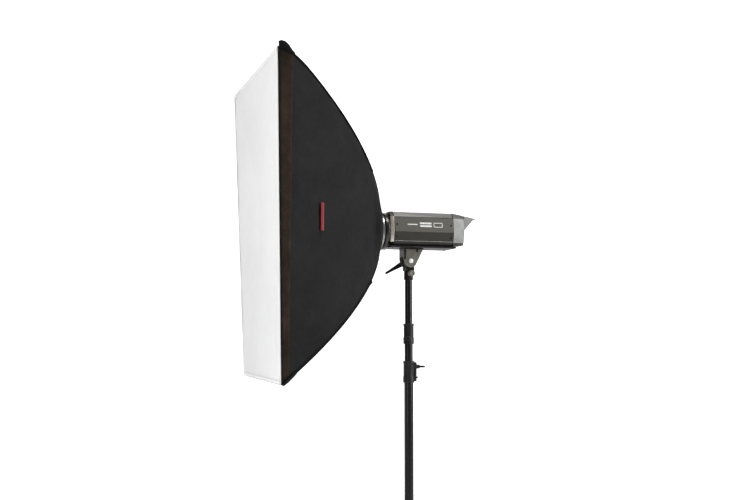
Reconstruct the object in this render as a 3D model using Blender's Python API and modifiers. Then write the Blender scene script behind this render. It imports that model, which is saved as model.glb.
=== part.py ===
"""A studio softbox on its flash head, tilt bracket and folding light stand.

Metres, +Z up. The softbox faces -X and the flash head's rear panel faces +X. The stand is vertical, and the origin
is on the floor, at the middle of the whole object's footprint box.
"""

import math

import bmesh
import bpy
from mathutils import Matrix, Vector

# ---------------------------------------------------------------- driving dimensions
SOFTBOX_WIDTH = 0.70
SOFTBOX_HEIGHT = 1.00
SOFTBOX_DEPTH = 0.403
FRONT_TO_STAND = 0.516
AXIS_HEIGHT = 1.25
STAND_X = 0.1375
CLEARANCE = 0.0003

FRONT_X = STAND_X - FRONT_TO_STAND
HALF_DIAGONAL = math.hypot(SOFTBOX_WIDTH, SOFTBOX_HEIGHT) / 2
SIDE_SHARE = SOFTBOX_WIDTH / 2 / HALF_DIAGONAL
TOP_SHARE = SOFTBOX_HEIGHT / 2 / HALF_DIAGONAL

# Bent rods: the corner seam runs in the diagonal plane as x = rear - BEND * (rho - BEND_FROM) ** BEND_POWER
BEND_FROM = 0.05
BEND_POWER = 1.60
BEND = SOFTBOX_DEPTH / (HALF_DIAGONAL - BEND_FROM) ** BEND_POWER
TOP_FULLNESS = 0.034
DROOP = 0.031
TWIST = 0.039
LIFT = 0.009
FABRIC = 0.0012
SEAM_GAP = 0.002
REAR_OPENING_RADIUS = 0.0637
ROD_RADIUS = 0.002
ROD_INSET = 0.0125
ROD_START, ROD_END, ROD_STEPS = 0.073, 0.574, 20
PANEL_SINK = 0.012
FRONT_SINK = 0.003

# Flash head, measured along the axis from the softbox's front plane
PLATE_SPAN = (0.390, 0.400)
INSERT_FRONT = 0.386
INSERT_FLANGE = (0.4068, 0.4150)
FRONT_RING_SPAN = (0.4155, 0.4337)
BEZEL_SPAN = (0.434, 0.447)
SHELL_SPAN = (0.4473, 0.6567)
REAR_CAP_SPAN = (0.657, 0.698)
CONTROL_PANEL_SPAN = (0.6875, 0.6905)
LOCK_SCREW_ALONG = (INSERT_FLANGE[0] + INSERT_FLANGE[1]) / 2
BODY_TOP, BODY_BOTTOM = 0.063, 0.0565
WALL = 0.0025

# Tilt bracket and stand socket
PIVOT_HEIGHT = AXIS_HEIGHT - 0.099
BRACKET_HALF_WIDTH = 0.025
BRACKET_SHEET = 0.003
SOCKET_RADIUS = 0.0148
SOCKET_HALF_WIDTH = 0.0185
SOCKET_BOTTOM = 1.0875
SOCKET_SCREW_HEIGHT = PIVOT_HEIGHT - 0.0425
PIVOT_BOLT_RADIUS = 0.004
LEVER_REACH = 0.084
LEVER_ANGLE = math.radians(210)

# Stand tubes
TUBE_WALL = 0.0012
BASE_RADIUS, MID_RADIUS, TOP_RADIUS = 0.0155, 0.0140, 0.0125
BASE_SPAN = (0.045, 0.775)
MID_SPAN = (0.12, 0.9035)
TOP_SPAN = (0.27, 1.0868)
BASE_CLAMP_SPAN = (0.743, 0.815)
MID_CLAMP_SPAN = (0.872, 0.940)
SPIGOT_RADIUS = 0.008
CLAMP_SCREW_RADIUS = 0.003
BASE_SCREW_HEIGHT = 0.796
MID_SCREW_HEIGHT = 0.890
MID_KNOB_AZIMUTH = math.radians(-115)

# Folding legs: strut and upper leg are equally long, so the leg's top stays beside the tube
LEG_AZIMUTHS = {"a": math.pi, "b": math.radians(60), "c": math.radians(-60)}
LEG_PIVOT_RADIUS = 0.036
HUB_PIVOT_HEIGHT = 0.28
LEG_LENGTH = 0.54
STRUT_LENGTH = 0.20
LEG_DROP = HUB_PIVOT_HEIGHT - 0.014
LEG_ANGLE = math.asin(LEG_DROP / LEG_LENGTH)
LOWER_PIVOT_HEIGHT = HUB_PIVOT_HEIGHT - 2 * STRUT_LENGTH * math.sin(LEG_ANGLE)
LEG_HALF_WIDTH = 0.007
LEG_DEPTH = 0.012
LEG_SHEET = 0.0015
HUB_RADIUS = 0.023

# Directions in which a turned shape's axis can point, as Euler angles that carry +Z there
ALONG_X = (0, math.pi / 2, 0)
ALONG_Y = (-math.pi / 2, 0, 0)
TOWARDS_CAMERA_SIDE = (math.pi / 2, 0, 0)
UPWARDS = (0, 0, 0)
SECTION_ACROSS_X = (math.pi / 2, 0, math.pi / 2)
SECTION_ACROSS_Y = (math.pi / 2, 0, 0)

COLOURS = {
    "black_fabric": ((0.020, 0.020, 0.021), 0.85, 0.0),
    "white_fabric": ((0.85, 0.85, 0.85), 0.9, 0.0),
    "black_plastic": ((0.012, 0.012, 0.012), 0.45, 0.0),
    "black_metal": ((0.015, 0.015, 0.016), 0.35, 0.6),
    "grey_metal": ((0.10, 0.10, 0.095), 0.45, 0.5),
    "light_grey": ((0.36, 0.37, 0.37), 0.5, 0.2),
    "bare_metal": ((0.72, 0.71, 0.67), 0.25, 1.0),
    "rubber": ((0.02, 0.02, 0.02), 0.9, 0.0),
    "ceramic": ((0.62, 0.60, 0.55), 0.6, 0.0),
    "glass": ((0.8, 0.85, 0.85), 0.1, 0.0),
    "circuit_green": ((0.02, 0.12, 0.05), 0.5, 0.0),
}


# ---------------------------------------------------------------- helpers
def clear_scene():
    for obj in list(bpy.data.objects):
        bpy.data.objects.remove(obj)


def new_collection(name):
    collection = bpy.data.collections.new(name)
    bpy.context.scene.collection.children.link(collection)
    return collection


def material(slot):
    found = bpy.data.materials.get(slot)
    if found:
        return found
    colour, roughness, metallic = COLOURS[slot]
    made = bpy.data.materials.new(slot)
    made.use_nodes = True
    shader = made.node_tree.nodes["Principled BSDF"]
    shader.inputs["Base Color"].default_value = (*colour, 1)
    shader.inputs["Roughness"].default_value = roughness
    shader.inputs["Metallic"].default_value = metallic
    return made


def joint_empty(name, at, parent=None):
    """An empty on a joint's axis; the pieces that move with that joint are parented to it."""
    empty = bpy.data.objects.new(name, None)
    parts.objects.link(empty)
    empty.location = at
    if parent:
        attach(empty, parent)
    bpy.context.view_layer.update()
    return empty


def attach(obj, parent):
    bpy.context.view_layer.update()
    obj.parent = parent
    obj.matrix_parent_inverse = parent.matrix_world.inverted()


def add_object(name, mesh, at, turn):
    obj = bpy.data.objects.new(name, mesh)
    parts.objects.link(obj)
    obj.location = at
    obj.rotation_euler = turn
    return obj


def from_bmesh(name, bm, at=(0, 0, 0), turn=(0, 0, 0)):
    bmesh.ops.recalc_face_normals(bm, faces=bm.faces)
    mesh = bpy.data.meshes.new(name)
    bm.to_mesh(mesh)
    bm.free()
    return add_object(name, mesh, at, turn)


def finish(obj, slot, body):
    """Gives a piece its material and smooth shading, and parents it to the empty it moves with."""
    obj.data.materials.clear()
    obj.data.materials.append(material(slot))
    if obj.type == "MESH":
        obj.data.shade_smooth()
        obj.data.set_sharp_from_angle(angle=math.radians(35))
    attach(obj, body)
    return obj


def box(name, size, at=(0, 0, 0), turn=(0, 0, 0), bevel=0.0):
    bm = bmesh.new()
    bmesh.ops.create_cube(bm, size=1, matrix=Matrix.Diagonal((*size, 1)))
    if bevel:
        bmesh.ops.bevel(bm, geom=bm.edges[:], offset=bevel, segments=1, profile=0.5, affect="EDGES")
    return from_bmesh(name, bm, at, turn)


def cylinder(name, radius, length, at, turn=UPWARDS, segments=24, tip_radius=None):
    """A round bar or cone, centred on `at`."""
    bm = bmesh.new()
    bmesh.ops.create_cone(
        bm,
        cap_ends=True,
        segments=segments,
        radius1=radius,
        radius2=radius if tip_radius is None else tip_radius,
        depth=length,
    )
    return from_bmesh(name, bm, at, turn)


def turned(name, profile, at, turn=UPWARDS, segments=32, closed=True):
    """Spins (radius, height) points about the local Z axis. A closed profile makes a ring."""
    bm = bmesh.new()
    points = [bm.verts.new((radius, 0, height)) for radius, height in profile]
    edges = [bm.edges.new(pair) for pair in zip(points, points[1:])]
    if closed:
        edges.append(bm.edges.new((points[-1], points[0])))
    bmesh.ops.spin(
        bm,
        geom=points + edges,
        cent=(0, 0, 0),
        axis=(0, 0, 1),
        dvec=(0, 0, 0),
        angle=2 * math.pi,
        steps=segments,
        use_merge=True,
    )
    bmesh.ops.remove_doubles(bm, verts=bm.verts, dist=1e-6)
    return from_bmesh(name, bm, at, turn)


def ring(name, inner, outer, span, at, turn=UPWARDS, segments=32):
    """A plain sleeve from span[0] to span[1] along its axis."""
    low, high = span
    profile = [(inner, low), (outer, low), (outer, high), (inner, high)]
    return turned(name, profile, at, turn, segments)


def plate(name, outlines, thickness, at, turn=(0, 0, 0)):
    """A flat sheet with the given closed outlines, the first outside and the others as holes."""
    curve = bpy.data.curves.new(name, "CURVE")
    curve.dimensions = "2D"
    curve.fill_mode = "BOTH"
    curve.extrude = thickness / 2
    for outline in outlines:
        spline = curve.splines.new("POLY")
        spline.points.add(len(outline) - 1)
        spline.use_cyclic_u = True
        for point, (u, v) in zip(spline.points, outline):
            point.co = (u, v, 0, 1)
    return mesh_of_curve(name, curve, at, turn)


def mesh_of_curve(name, curve, at, turn):
    carrier = bpy.data.objects.new(name + "_curve", curve)
    parts.objects.link(carrier)
    bpy.context.view_layer.update()
    graph = bpy.context.evaluated_depsgraph_get()
    mesh = bpy.data.meshes.new_from_object(carrier.evaluated_get(graph))
    bpy.data.objects.remove(carrier)
    bm = bmesh.new()
    bm.from_mesh(mesh)
    bpy.data.meshes.remove(mesh)
    bmesh.ops.remove_doubles(bm, verts=bm.verts, dist=1e-6)
    return from_bmesh(name, bm, at, turn)


def arc(centre, radius, start, end, steps):
    """Points on a circle from one angle to another, in degrees."""
    angles = [math.radians(start + (end - start) * i / steps) for i in range(steps + 1)]
    return [(centre[0] + radius * math.cos(a), centre[1] + radius * math.sin(a)) for a in angles]


def boolean(obj, other, operation):
    """Cuts another object from a piece, or joins it on, and hides the other as a helper."""
    modifier = obj.modifiers.new(other.name, "BOOLEAN")
    modifier.operation = operation
    modifier.solver = "EXACT"
    modifier.object = other
    parts.objects.unlink(other)
    helpers.objects.link(other)
    other.hide_render = True
    other.display_type = "WIRE"


def cut(obj, *others):
    for other in others:
        boolean(obj, other, "DIFFERENCE")


def join(obj, *others):
    for other in others:
        boolean(obj, other, "UNION")


def along(distance, y=0.0, z=0.0):
    """A point on the optical axis, that far behind the softbox's front plane, moved by y and z."""
    return (FRONT_X + distance, y, AXIS_HEIGHT + z)


def round_about(azimuth, radius, height):
    """A point beside the stand's axis."""
    return (STAND_X + radius * math.cos(azimuth), radius * math.sin(azimuth), height)


# ---------------------------------------------------------------- softbox
def corner_distance(rho):
    """How far behind the front plane the corner seam lies at radius rho from the axis."""
    return SOFTBOX_DEPTH - BEND * max(rho - BEND_FROM, 0) ** BEND_POWER


def seam_distance(rho, height_share):
    """The same, with the fuller top: height_share is 1 at a top seam and -1 at a bottom seam."""
    share = rho / HALF_DIAGONAL
    fullness = TOP_FULLNESS * share**1.4 * (1 - share**40)
    return corner_distance(rho) + fullness * (1 + height_share) / 2


def settle(point, rho):
    """The front droops and twists a little and stands a little high, all more towards the front."""
    share = rho / HALF_DIAGONAL
    x, y, z = point
    return Vector((x - (DROOP + TWIST * y) * z * share, y, AXIS_HEIGHT + z + LIFT * share))


def shell_point(side, rho, across):
    """A point on the outer fabric: rho is the corner seam's radius there, across runs from -1 to 1."""
    half_y, half_z = SIDE_SHARE * rho, TOP_SHARE * rho
    forward = (rho - REAR_OPENING_RADIUS) / (HALF_DIAGONAL - REAR_OPENING_RADIUS)
    sink = (4 * PANEL_SINK * forward * (1 - forward) + FRONT_SINK * forward) * (1 - across**2)
    if side in ("left", "right"):
        sign = 1 if side == "right" else -1
        y, z = sign * (half_y - sink), half_z * across
    else:
        sign = 1 if side == "top" else -1
        y, z = half_y * across, sign * (half_z - sink)
    fade = min(1.0, forward / 0.25)
    roundness = 1 - 3 * fade**2 + 2 * fade**3
    flat_radius = math.hypot(y, z)
    scale = 1 + roundness * (rho / flat_radius - 1)
    distance = seam_distance(rho, max(-1.0, min(1.0, z / half_z)))
    return settle((FRONT_X + distance, y * scale, z * scale), rho)


def fabric_panel(side):
    """One of the four cloth sides, between two rods."""
    rows, columns = 11, 10
    bm = bmesh.new()
    bmesh.ops.create_grid(bm, x_segments=columns, y_segments=rows, size=1)
    for vert in bm.verts:
        forward = (1 - math.cos(math.pi * (vert.co.y + 1) / 2)) / 2
        rho = REAR_OPENING_RADIUS + (HALF_DIAGONAL - REAR_OPENING_RADIUS) * forward
        half_span = rho * (TOP_SHARE if side in ("left", "right") else SIDE_SHARE)
        vert.co = shell_point(side, rho, vert.co.x * (1 - SEAM_GAP / half_span))
    panel = from_bmesh("panel_" + side, bm)
    middle = panel.data.polygons[len(panel.data.polygons) // 2]
    outward = Vector((0, middle.center.y, middle.center.z - AXIS_HEIGHT))
    sheet = panel.modifiers.new("cloth thickness", "SOLIDIFY")
    sheet.thickness = FABRIC
    sheet.offset = -1 if middle.normal.dot(outward) > 0 else 1
    return finish(panel, "black_fabric", softbox)


def rod_point(side_sign, top_sign, share):
    """A point on a rod's centre line, from 0 at its socket to 1 at its front tip."""
    rho = ROD_START + (ROD_END - ROD_START) * share
    x = FRONT_X + seam_distance(rho, top_sign) - ROD_INSET
    return settle((x, side_sign * SIDE_SHARE * rho, top_sign * TOP_SHARE * rho), rho)


def rod(name, side_sign, top_sign):
    """A spring rod bowed from its socket on the speed ring to a front corner pocket."""
    curve = bpy.data.curves.new(name, "CURVE")
    curve.dimensions = "3D"
    curve.bevel_depth = ROD_RADIUS
    curve.bevel_resolution = 2
    curve.use_fill_caps = True
    spline = curve.splines.new("POLY")
    spline.points.add(ROD_STEPS)
    for i, point in enumerate(spline.points):
        point.co = (*rod_point(side_sign, top_sign, i / ROD_STEPS), 1)
    obj = bpy.data.objects.new(name, curve)
    parts.objects.link(obj)
    return finish(obj, "bare_metal", softbox)


def speed_ring():
    """The turning ring plate with a socket for each rod."""
    inner, outer = 0.0556, 0.066
    boss_radius, boss_back, boss_front = 0.005, 0.0095, 0.012
    plate_ring = ring("speed_ring", inner, outer, PLATE_SPAN, along(0), ALONG_X, 48)
    for side_sign in (-1, 1):
        for top_sign in (-1, 1):
            rod_start = rod_point(side_sign, top_sign, 0)
            away = (rod_point(side_sign, top_sign, 1 / ROD_STEPS) - rod_start).normalized()
            turn = away.to_track_quat("Z", "Y").to_euler()
            boss_at = rod_start + away * (boss_front - boss_back) / 2
            boss = cylinder("socket_boss", boss_radius, boss_front + boss_back, boss_at, turn, 14)
            hole_length = 0.030
            hole_at = rod_start + away * (hole_length / 2 - 0.0008)
            hole = cylinder("socket_hole", ROD_RADIUS + 0.0005, hole_length, hole_at, turn, 10)
            join(plate_ring, boss)
            cut(plate_ring, hole)
    return finish(plate_ring, "black_metal", softbox)


def sheets_across():
    """The front diffuser, as twisted as the front edges it is sewn to, and the flat inner baffle."""
    bm = bmesh.new()
    bmesh.ops.create_grid(bm, x_segments=6, y_segments=8, size=0.5)
    for vert in bm.verts:
        y, z = vert.co.x * SOFTBOX_WIDTH, vert.co.y * SOFTBOX_HEIGHT
        vert.co = settle((FRONT_X - 2 * FABRIC, y, z), HALF_DIAGONAL)
    diffuser = from_bmesh("front_diffuser", bm)
    sheet = diffuser.modifiers.new("cloth thickness", "SOLIDIFY")
    sheet.thickness = FABRIC
    sheet.offset = 1 if diffuser.data.polygons[0].normal.x > 0 else -1
    finish(diffuser, "white_fabric", softbox)
    baffle_distance, half_width, half_height = 0.200, 0.212, 0.305
    size = (FABRIC, 2 * half_width, 2 * half_height)
    finish(box("inner_baffle", size, along(baffle_distance, 0, LIFT / 2)), "white_fabric", softbox)


def build_softbox():
    for side in ("left", "right", "top", "bottom"):
        fabric_panel(side)
    for name, side_sign, top_sign in (
        ("rod_top_left", -1, 1),
        ("rod_top_right", 1, 1),
        ("rod_bottom_left", -1, -1),
        ("rod_bottom_right", 1, -1),
    ):
        rod(name, side_sign, top_sign)
    speed_ring()
    sheets_across()


# ---------------------------------------------------------------- flash head
def mirrored(half_outline):
    """Closes a half outline, given from top to bottom at y > 0, with its mirror image."""
    return half_outline + [(-y, z) for y, z in reversed(half_outline)]


def body_section(inset=0.0):
    """The flash head's eight-sided casing section as (y, z)."""
    half = [(0.040, BODY_TOP), (0.0545, 0.046), (0.0625, -0.004), (0.0545, -0.0365), (0.046, -0.0487)]
    return mirrored([(y - inset, z - inset if z > 0 else z + inset) for y, z in half])


def between(span):
    return (span[0] + span[1]) / 2


def length_of(span):
    return span[1] - span[0]


def mount_ring_and_insert():
    """The bayonet insert on which the softbox turns, and the flash head's front ring."""
    inner, sleeve, front_lip, flange = 0.049, 0.055, 0.059, 0.0615
    profile = [
        (inner, INSERT_FRONT),
        (front_lip, INSERT_FRONT),
        (front_lip, PLATE_SPAN[0] - 0.0005),
        (sleeve, PLATE_SPAN[0] - 0.0005),
        (sleeve, INSERT_FLANGE[0]),
        (flange, INSERT_FLANGE[0]),
        (flange, INSERT_FLANGE[1]),
        (inner, INSERT_FLANGE[1]),
    ]
    insert = turned("ring_insert", profile, along(0), ALONG_X, 48)
    finish(insert, "bare_metal", head)
    front, rear = FRONT_RING_SPAN
    bore, outer, chamfer = 0.0495, 0.063, 0.003
    profile = [
        (bore, front),
        (outer - chamfer, front),
        (outer, front + chamfer),
        (outer, rear - chamfer),
        (outer - chamfer, rear),
        (bore, rear),
    ]
    finish(turned("front_ring", profile, along(0), ALONG_X, 48), "black_plastic", head)


def lock_screw():
    """The thumb screw on the insert's flange that stops the softbox from turning."""
    bottom = 0.0618
    profile = [(0, 0), (0.0018, 0), (0.0018, 0.004), (0.0035, 0.005), (0.0035, 0.017), (0, 0.0175)]
    screw = turned("ring_lock_screw", profile, along(LOCK_SCREW_ALONG, 0, bottom), UPWARDS, 12, closed=False)
    finish(screw, "black_metal", lock_screw_axis)


def casing():
    """Bezel, hollow shell, two side panels, bottom plate and rear cap."""
    opening = arc((0, 0), 0.0485, 0, 360, 40)[:-1]
    bezel = plate(
        "front_bezel", [body_section(-0.001), opening], length_of(BEZEL_SPAN), along(between(BEZEL_SPAN)),
        SECTION_ACROSS_X,
    )
    finish(bezel, "bare_metal", head)
    shell = plate(
        "flash_shell", [body_section(), body_section(WALL)], length_of(SHELL_SPAN), along(between(SHELL_SPAN)),
        SECTION_ACROSS_X,
    )
    finish(shell, "grey_metal", head)
    lift, sheet = 0.0004, 0.0018
    upper, middle, lower = (0.0548, 0.0435), (0.0625, -0.004), (0.0553, -0.0345)
    for name, sign in (("side_panel_left", -1), ("side_panel_right", 1)):
        inner = [(sign * (y + lift), z) for y, z in (upper, middle, lower)]
        outer = [(sign * (y + lift + sheet), z) for y, z in (lower, middle, upper)]
        panel = plate(name, [inner + outer], length_of(SHELL_SPAN) - 0.002, along(between(SHELL_SPAN)),
                      SECTION_ACROSS_X)
        finish(panel, "grey_metal", head)
    plate_top, plate_span = -0.0506, (0.436, 0.668)
    section = mirrored([(0.052, plate_top), (0.0555, -0.0525), (0.0555, -0.0545), (0.0525, -BODY_BOTTOM)])
    bottom = plate("bottom_plate", [section], length_of(plate_span), along(between(plate_span)), SECTION_ACROSS_X)
    finish(bottom, "black_metal", head)
    rear_cap()


def rear_cap():
    """The lighter end frame, narrowing to the rear, around the recessed control panel."""
    taper, opening_inset = 0.90, 0.0045
    cap = plate(
        "rear_cap", [body_section(-0.0015), body_section(opening_inset)], length_of(REAR_CAP_SPAN),
        along(between(REAR_CAP_SPAN)), SECTION_ACROSS_X,
    )
    for vert in cap.data.vertices:
        if vert.co.z > 0:
            vert.co.x *= taper
            vert.co.y *= taper
    finish(cap, "light_grey", head)
    share = (between(CONTROL_PANEL_SPAN) - REAR_CAP_SPAN[0]) / length_of(REAR_CAP_SPAN)
    scale = 1 - (1 - taper) * share
    section = [(y * scale, z * scale) for y, z in body_section(opening_inset + 0.0012)]
    panel = plate(
        "control_panel", [section], length_of(CONTROL_PANEL_SPAN), along(between(CONTROL_PANEL_SPAN)),
        SECTION_ACROSS_X,
    )
    finish(panel, "black_plastic", head)


def rear_hood():
    """The visor over the control panel: a sloping top sheet with a three-cornered cheek on each side."""
    half_width, sheet = 0.046, 0.0025
    root, tip, low = (0.6995, 0.0475), (0.7375, 0.0465), (0.6995, 0.004)
    cheek = [root, tip, low]
    hood = None
    for sign in (-1, 1):
        piece = plate("rear_hood" if hood is None else "hood_cheek", [cheek], sheet,
                      (FRONT_X, sign * (half_width - sheet / 2), AXIS_HEIGHT), SECTION_ACROSS_Y)
        if hood is None:
            hood = piece
        else:
            join(hood, piece)
    roof = [(0.6995, 0.0560), (0.7440, 0.0470), (0.7440, 0.0450), (0.6995, 0.0450)]
    join(hood, plate("hood_roof", [roof], 2 * half_width, (FRONT_X, 0, AXIS_HEIGHT), SECTION_ACROSS_Y))
    finish(hood, "light_grey", head)


def lamps():
    """The ceramic lamp base, the ring-shaped flash tube and the modelling lamp."""
    base_span, base_radius, tube_ring, tube_radius = (0.4200, 0.4335), 0.0465, 0.030, 0.0040
    tube_at = 0.4000
    base_profile = [(0, 0.4040), (0.014, 0.4040), (0.014, base_span[0]), (base_radius, base_span[0]),
                    (base_radius, base_span[1]), (0, base_span[1])]
    base = turned("lamp_base", base_profile, along(0), ALONG_X, 32, closed=False)
    finish(base, "ceramic", head)
    circle = arc((tube_ring, tube_at), tube_radius, 0, 360, 8)[:-1]
    tube = turned("flash_tube", circle, along(0), ALONG_X, 28)
    for sign in (-1, 1):
        leg_length = base_span[0] - CLEARANCE - tube_at
        leg_at = along(tube_at + leg_length / 2, sign * tube_ring, 0)
        join(tube, cylinder("tube_leg", 0.0025, leg_length, leg_at, ALONG_X, 8))
    finish(tube, "glass", head)
    bulb = [(0, 0.3500)] + [(0.013 * math.sin(t), 0.363 - 0.013 * math.cos(t)) for t in (0.5, 1.0, 1.5, 2.0)]
    bulb += [(0.0085, 0.380), (0.0085, 0.4035), (0, 0.4035)]
    finish(turned("modelling_lamp", bulb, along(0), ALONG_X, 16, closed=False), "glass", head)


def electronics():
    """What the flash head holds: capacitor, circuit board and cooling fan."""
    board_z = -0.0445
    board = box("circuit_board", (0.170, 0.076, 0.0016), along(0.550, 0, board_z))
    finish(board, "circuit_green", head)
    radius = 0.024
    can = cylinder("capacitor", radius, 0.100, along(0.530, 0, board_z + 0.0011 + radius), ALONG_X, 20)
    finish(can, "black_plastic", head)
    hub_radius, blade_reach, fan_span = 0.010, 0.027, (0.6640, 0.6740)
    fan = cylinder("cooling_fan", hub_radius, length_of(fan_span), along(between(fan_span)), ALONG_X, 16)
    blades = 5
    for i in range(blades):
        angle = 2 * math.pi * i / blades
        middle = (blade_reach + hub_radius * 0.8) / 2
        at = along(between(fan_span), middle * math.cos(angle), middle * math.sin(angle))
        blade = box("fan_blade", (0.0012, blade_reach - hub_radius * 0.8, 0.011), at)
        blade.rotation_euler = (Matrix.Rotation(angle, 3, "X") @ Matrix.Rotation(0.7, 3, "Y")).to_euler()
        join(fan, blade)
    finish(fan, "black_plastic", fan_axis)


DIAL_Y, DIAL_Z = 0.020, 0.018
BUTTON_Y, BUTTON_Z = 0.020, -0.012
SWITCH_Y, SWITCH_Z = -0.022, -0.012
INLET_Z = -0.0305
PANEL_FACE = CONTROL_PANEL_SPAN[1]


def dial(name, y, body):
    """A knurled control knob on the rear panel."""
    base, height, radius = PANEL_FACE + CLEARANCE, 0.013, 0.0095
    profile = [(0, base), (radius, base), (radius * 0.88, base + height - 0.001), (radius * 0.76, base + height),
               (0, base + height)]
    knob = turned(name, profile, along(0, y, DIAL_Z), ALONG_X, 20, closed=False)
    finish(knob, "black_plastic", body)


def rear_controls():
    """Two dials, a test button, a rocker switch and the mains inlet, all proud of the control panel."""
    dial("power_dial", -DIAL_Y, power_dial_axis)
    dial("lamp_dial", DIAL_Y, lamp_dial_axis)
    button_length = 0.006
    at = along(PANEL_FACE + CLEARANCE + 0.0024 + button_length / 2, BUTTON_Y, BUTTON_Z)
    finish(cylinder("test_button", 0.0045, button_length, at, ALONG_X, 16), "light_grey", button_axis)
    rocker = [(0.0004, -0.008), (0.0052, -0.0085), (0.0036, 0.0), (0.0020, 0.0085), (0.0004, 0.008)]
    switch = plate("power_switch", [rocker], 0.012, along(PANEL_FACE + 0.0016, SWITCH_Y, SWITCH_Z),
                   SECTION_ACROSS_Y)
    finish(switch, "black_plastic", switch_axis)
    depth, rim, half_y, half_z = 0.006, 0.002, 0.0135, 0.0085
    inlet = box("mains_inlet", (depth, 2 * half_y, 2 * half_z), along(PANEL_FACE + CLEARANCE + depth / 2, 0, INLET_Z))
    well = box("inlet_well", (depth, 2 * (half_y - rim), 2 * (half_z - rim)),
               along(PANEL_FACE + CLEARANCE + depth / 2 + 0.0015, 0, INLET_Z))
    cut(inlet, well)
    finish(inlet, "black_plastic", head)


def bayonet_latch():
    """The sliding catch on top of the head that frees the accessory ring."""
    size = (0.016, 0.012, 0.0040)
    at = along(0.462, 0, BODY_TOP + CLEARANCE + size[2] / 2)
    finish(box("bayonet_latch", size, at, bevel=0.0008), "black_plastic", latch_axis)


# ---------------------------------------------------------------- tilt bracket
def bracket_cheek_outline():
    """The fan-shaped cheek around the tilt pivot, as (x, z) from the pivot."""
    top = AXIS_HEIGHT - BODY_BOTTOM - CLEARANCE - PIVOT_HEIGHT - 0.0005
    lobe = arc((0, 0), 0.0225, 190, 322, 12)
    return [(0.0445, top), (-0.0245, top), (-0.0245, 0.004)] + lobe


def tilt_bracket():
    """A pressed channel under the head: two fan-shaped cheeks, a top sheet and a front web."""
    top = AXIS_HEIGHT - BODY_BOTTOM - CLEARANCE
    x_front, x_rear = STAND_X - 0.025, STAND_X + 0.045
    size = (x_rear - x_front, 2 * BRACKET_HALF_WIDTH, BRACKET_SHEET)
    bracket = box("tilt_bracket", size, ((x_front + x_rear) / 2, 0, top - BRACKET_SHEET / 2))
    for sign in (-1, 1):
        y = sign * (BRACKET_HALF_WIDTH - BRACKET_SHEET / 2 - CLEARANCE)
        cheek = plate("bracket_cheek", [bracket_cheek_outline()], BRACKET_SHEET, (STAND_X, y, PIVOT_HEIGHT),
                      SECTION_ACROSS_Y)
        join(bracket, cheek)
    web_height = 0.026
    web = box("bracket_web", (BRACKET_SHEET, 2 * BRACKET_HALF_WIDTH - BRACKET_SHEET, web_height),
              (x_front + BRACKET_SHEET / 2 + 0.001, 0, top - 0.001 - web_height / 2))
    join(bracket, web)
    cut(bracket, cylinder("bolt_path", PIVOT_BOLT_RADIUS + CLEARANCE, 0.06, (STAND_X, 0, PIVOT_HEIGHT), ALONG_Y, 16))
    finish(bracket, "grey_metal", head)
    head_radius, head_height = 0.008, 0.003
    shank_end = BRACKET_HALF_WIDTH - CLEARANCE
    face = -BRACKET_HALF_WIDTH - CLEARANCE
    profile = [(0, face - head_height), (head_radius - 0.001, face - head_height),
               (head_radius, face - head_height + 0.001), (head_radius, face), (PIVOT_BOLT_RADIUS, face),
               (PIVOT_BOLT_RADIUS, shank_end), (0, shank_end)]
    bolt = turned("pivot_bolt", profile, (STAND_X, 0, PIVOT_HEIGHT), ALONG_Y, 16, closed=False)
    finish(bolt, "bare_metal", head)


def tilt_lever():
    """The long tapered handle that clamps the tilt pivot, on the far side of the bracket."""
    inner_face, hub_width, hub_radius, tip_radius = BRACKET_HALF_WIDTH + CLEARANCE, 0.013, 0.0115, 0.0045
    reach = LEVER_REACH - tip_radius
    outline = arc((0, 0), hub_radius, 60, 300, 10) + arc((reach, 0), tip_radius, -75, 75, 6)
    lever = plate("tilt_lever", [outline], hub_width, (STAND_X, inner_face + hub_width / 2, PIVOT_HEIGHT))
    # local x along the handle, local z across the bracket
    handle = Vector((math.cos(LEVER_ANGLE), 0, math.sin(LEVER_ANGLE)))
    across = Vector((0, 1, 0))
    lever.rotation_euler = Matrix((handle, across.cross(handle), across)).transposed().to_euler()
    finish(lever, "black_plastic", lever_axis)


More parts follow.
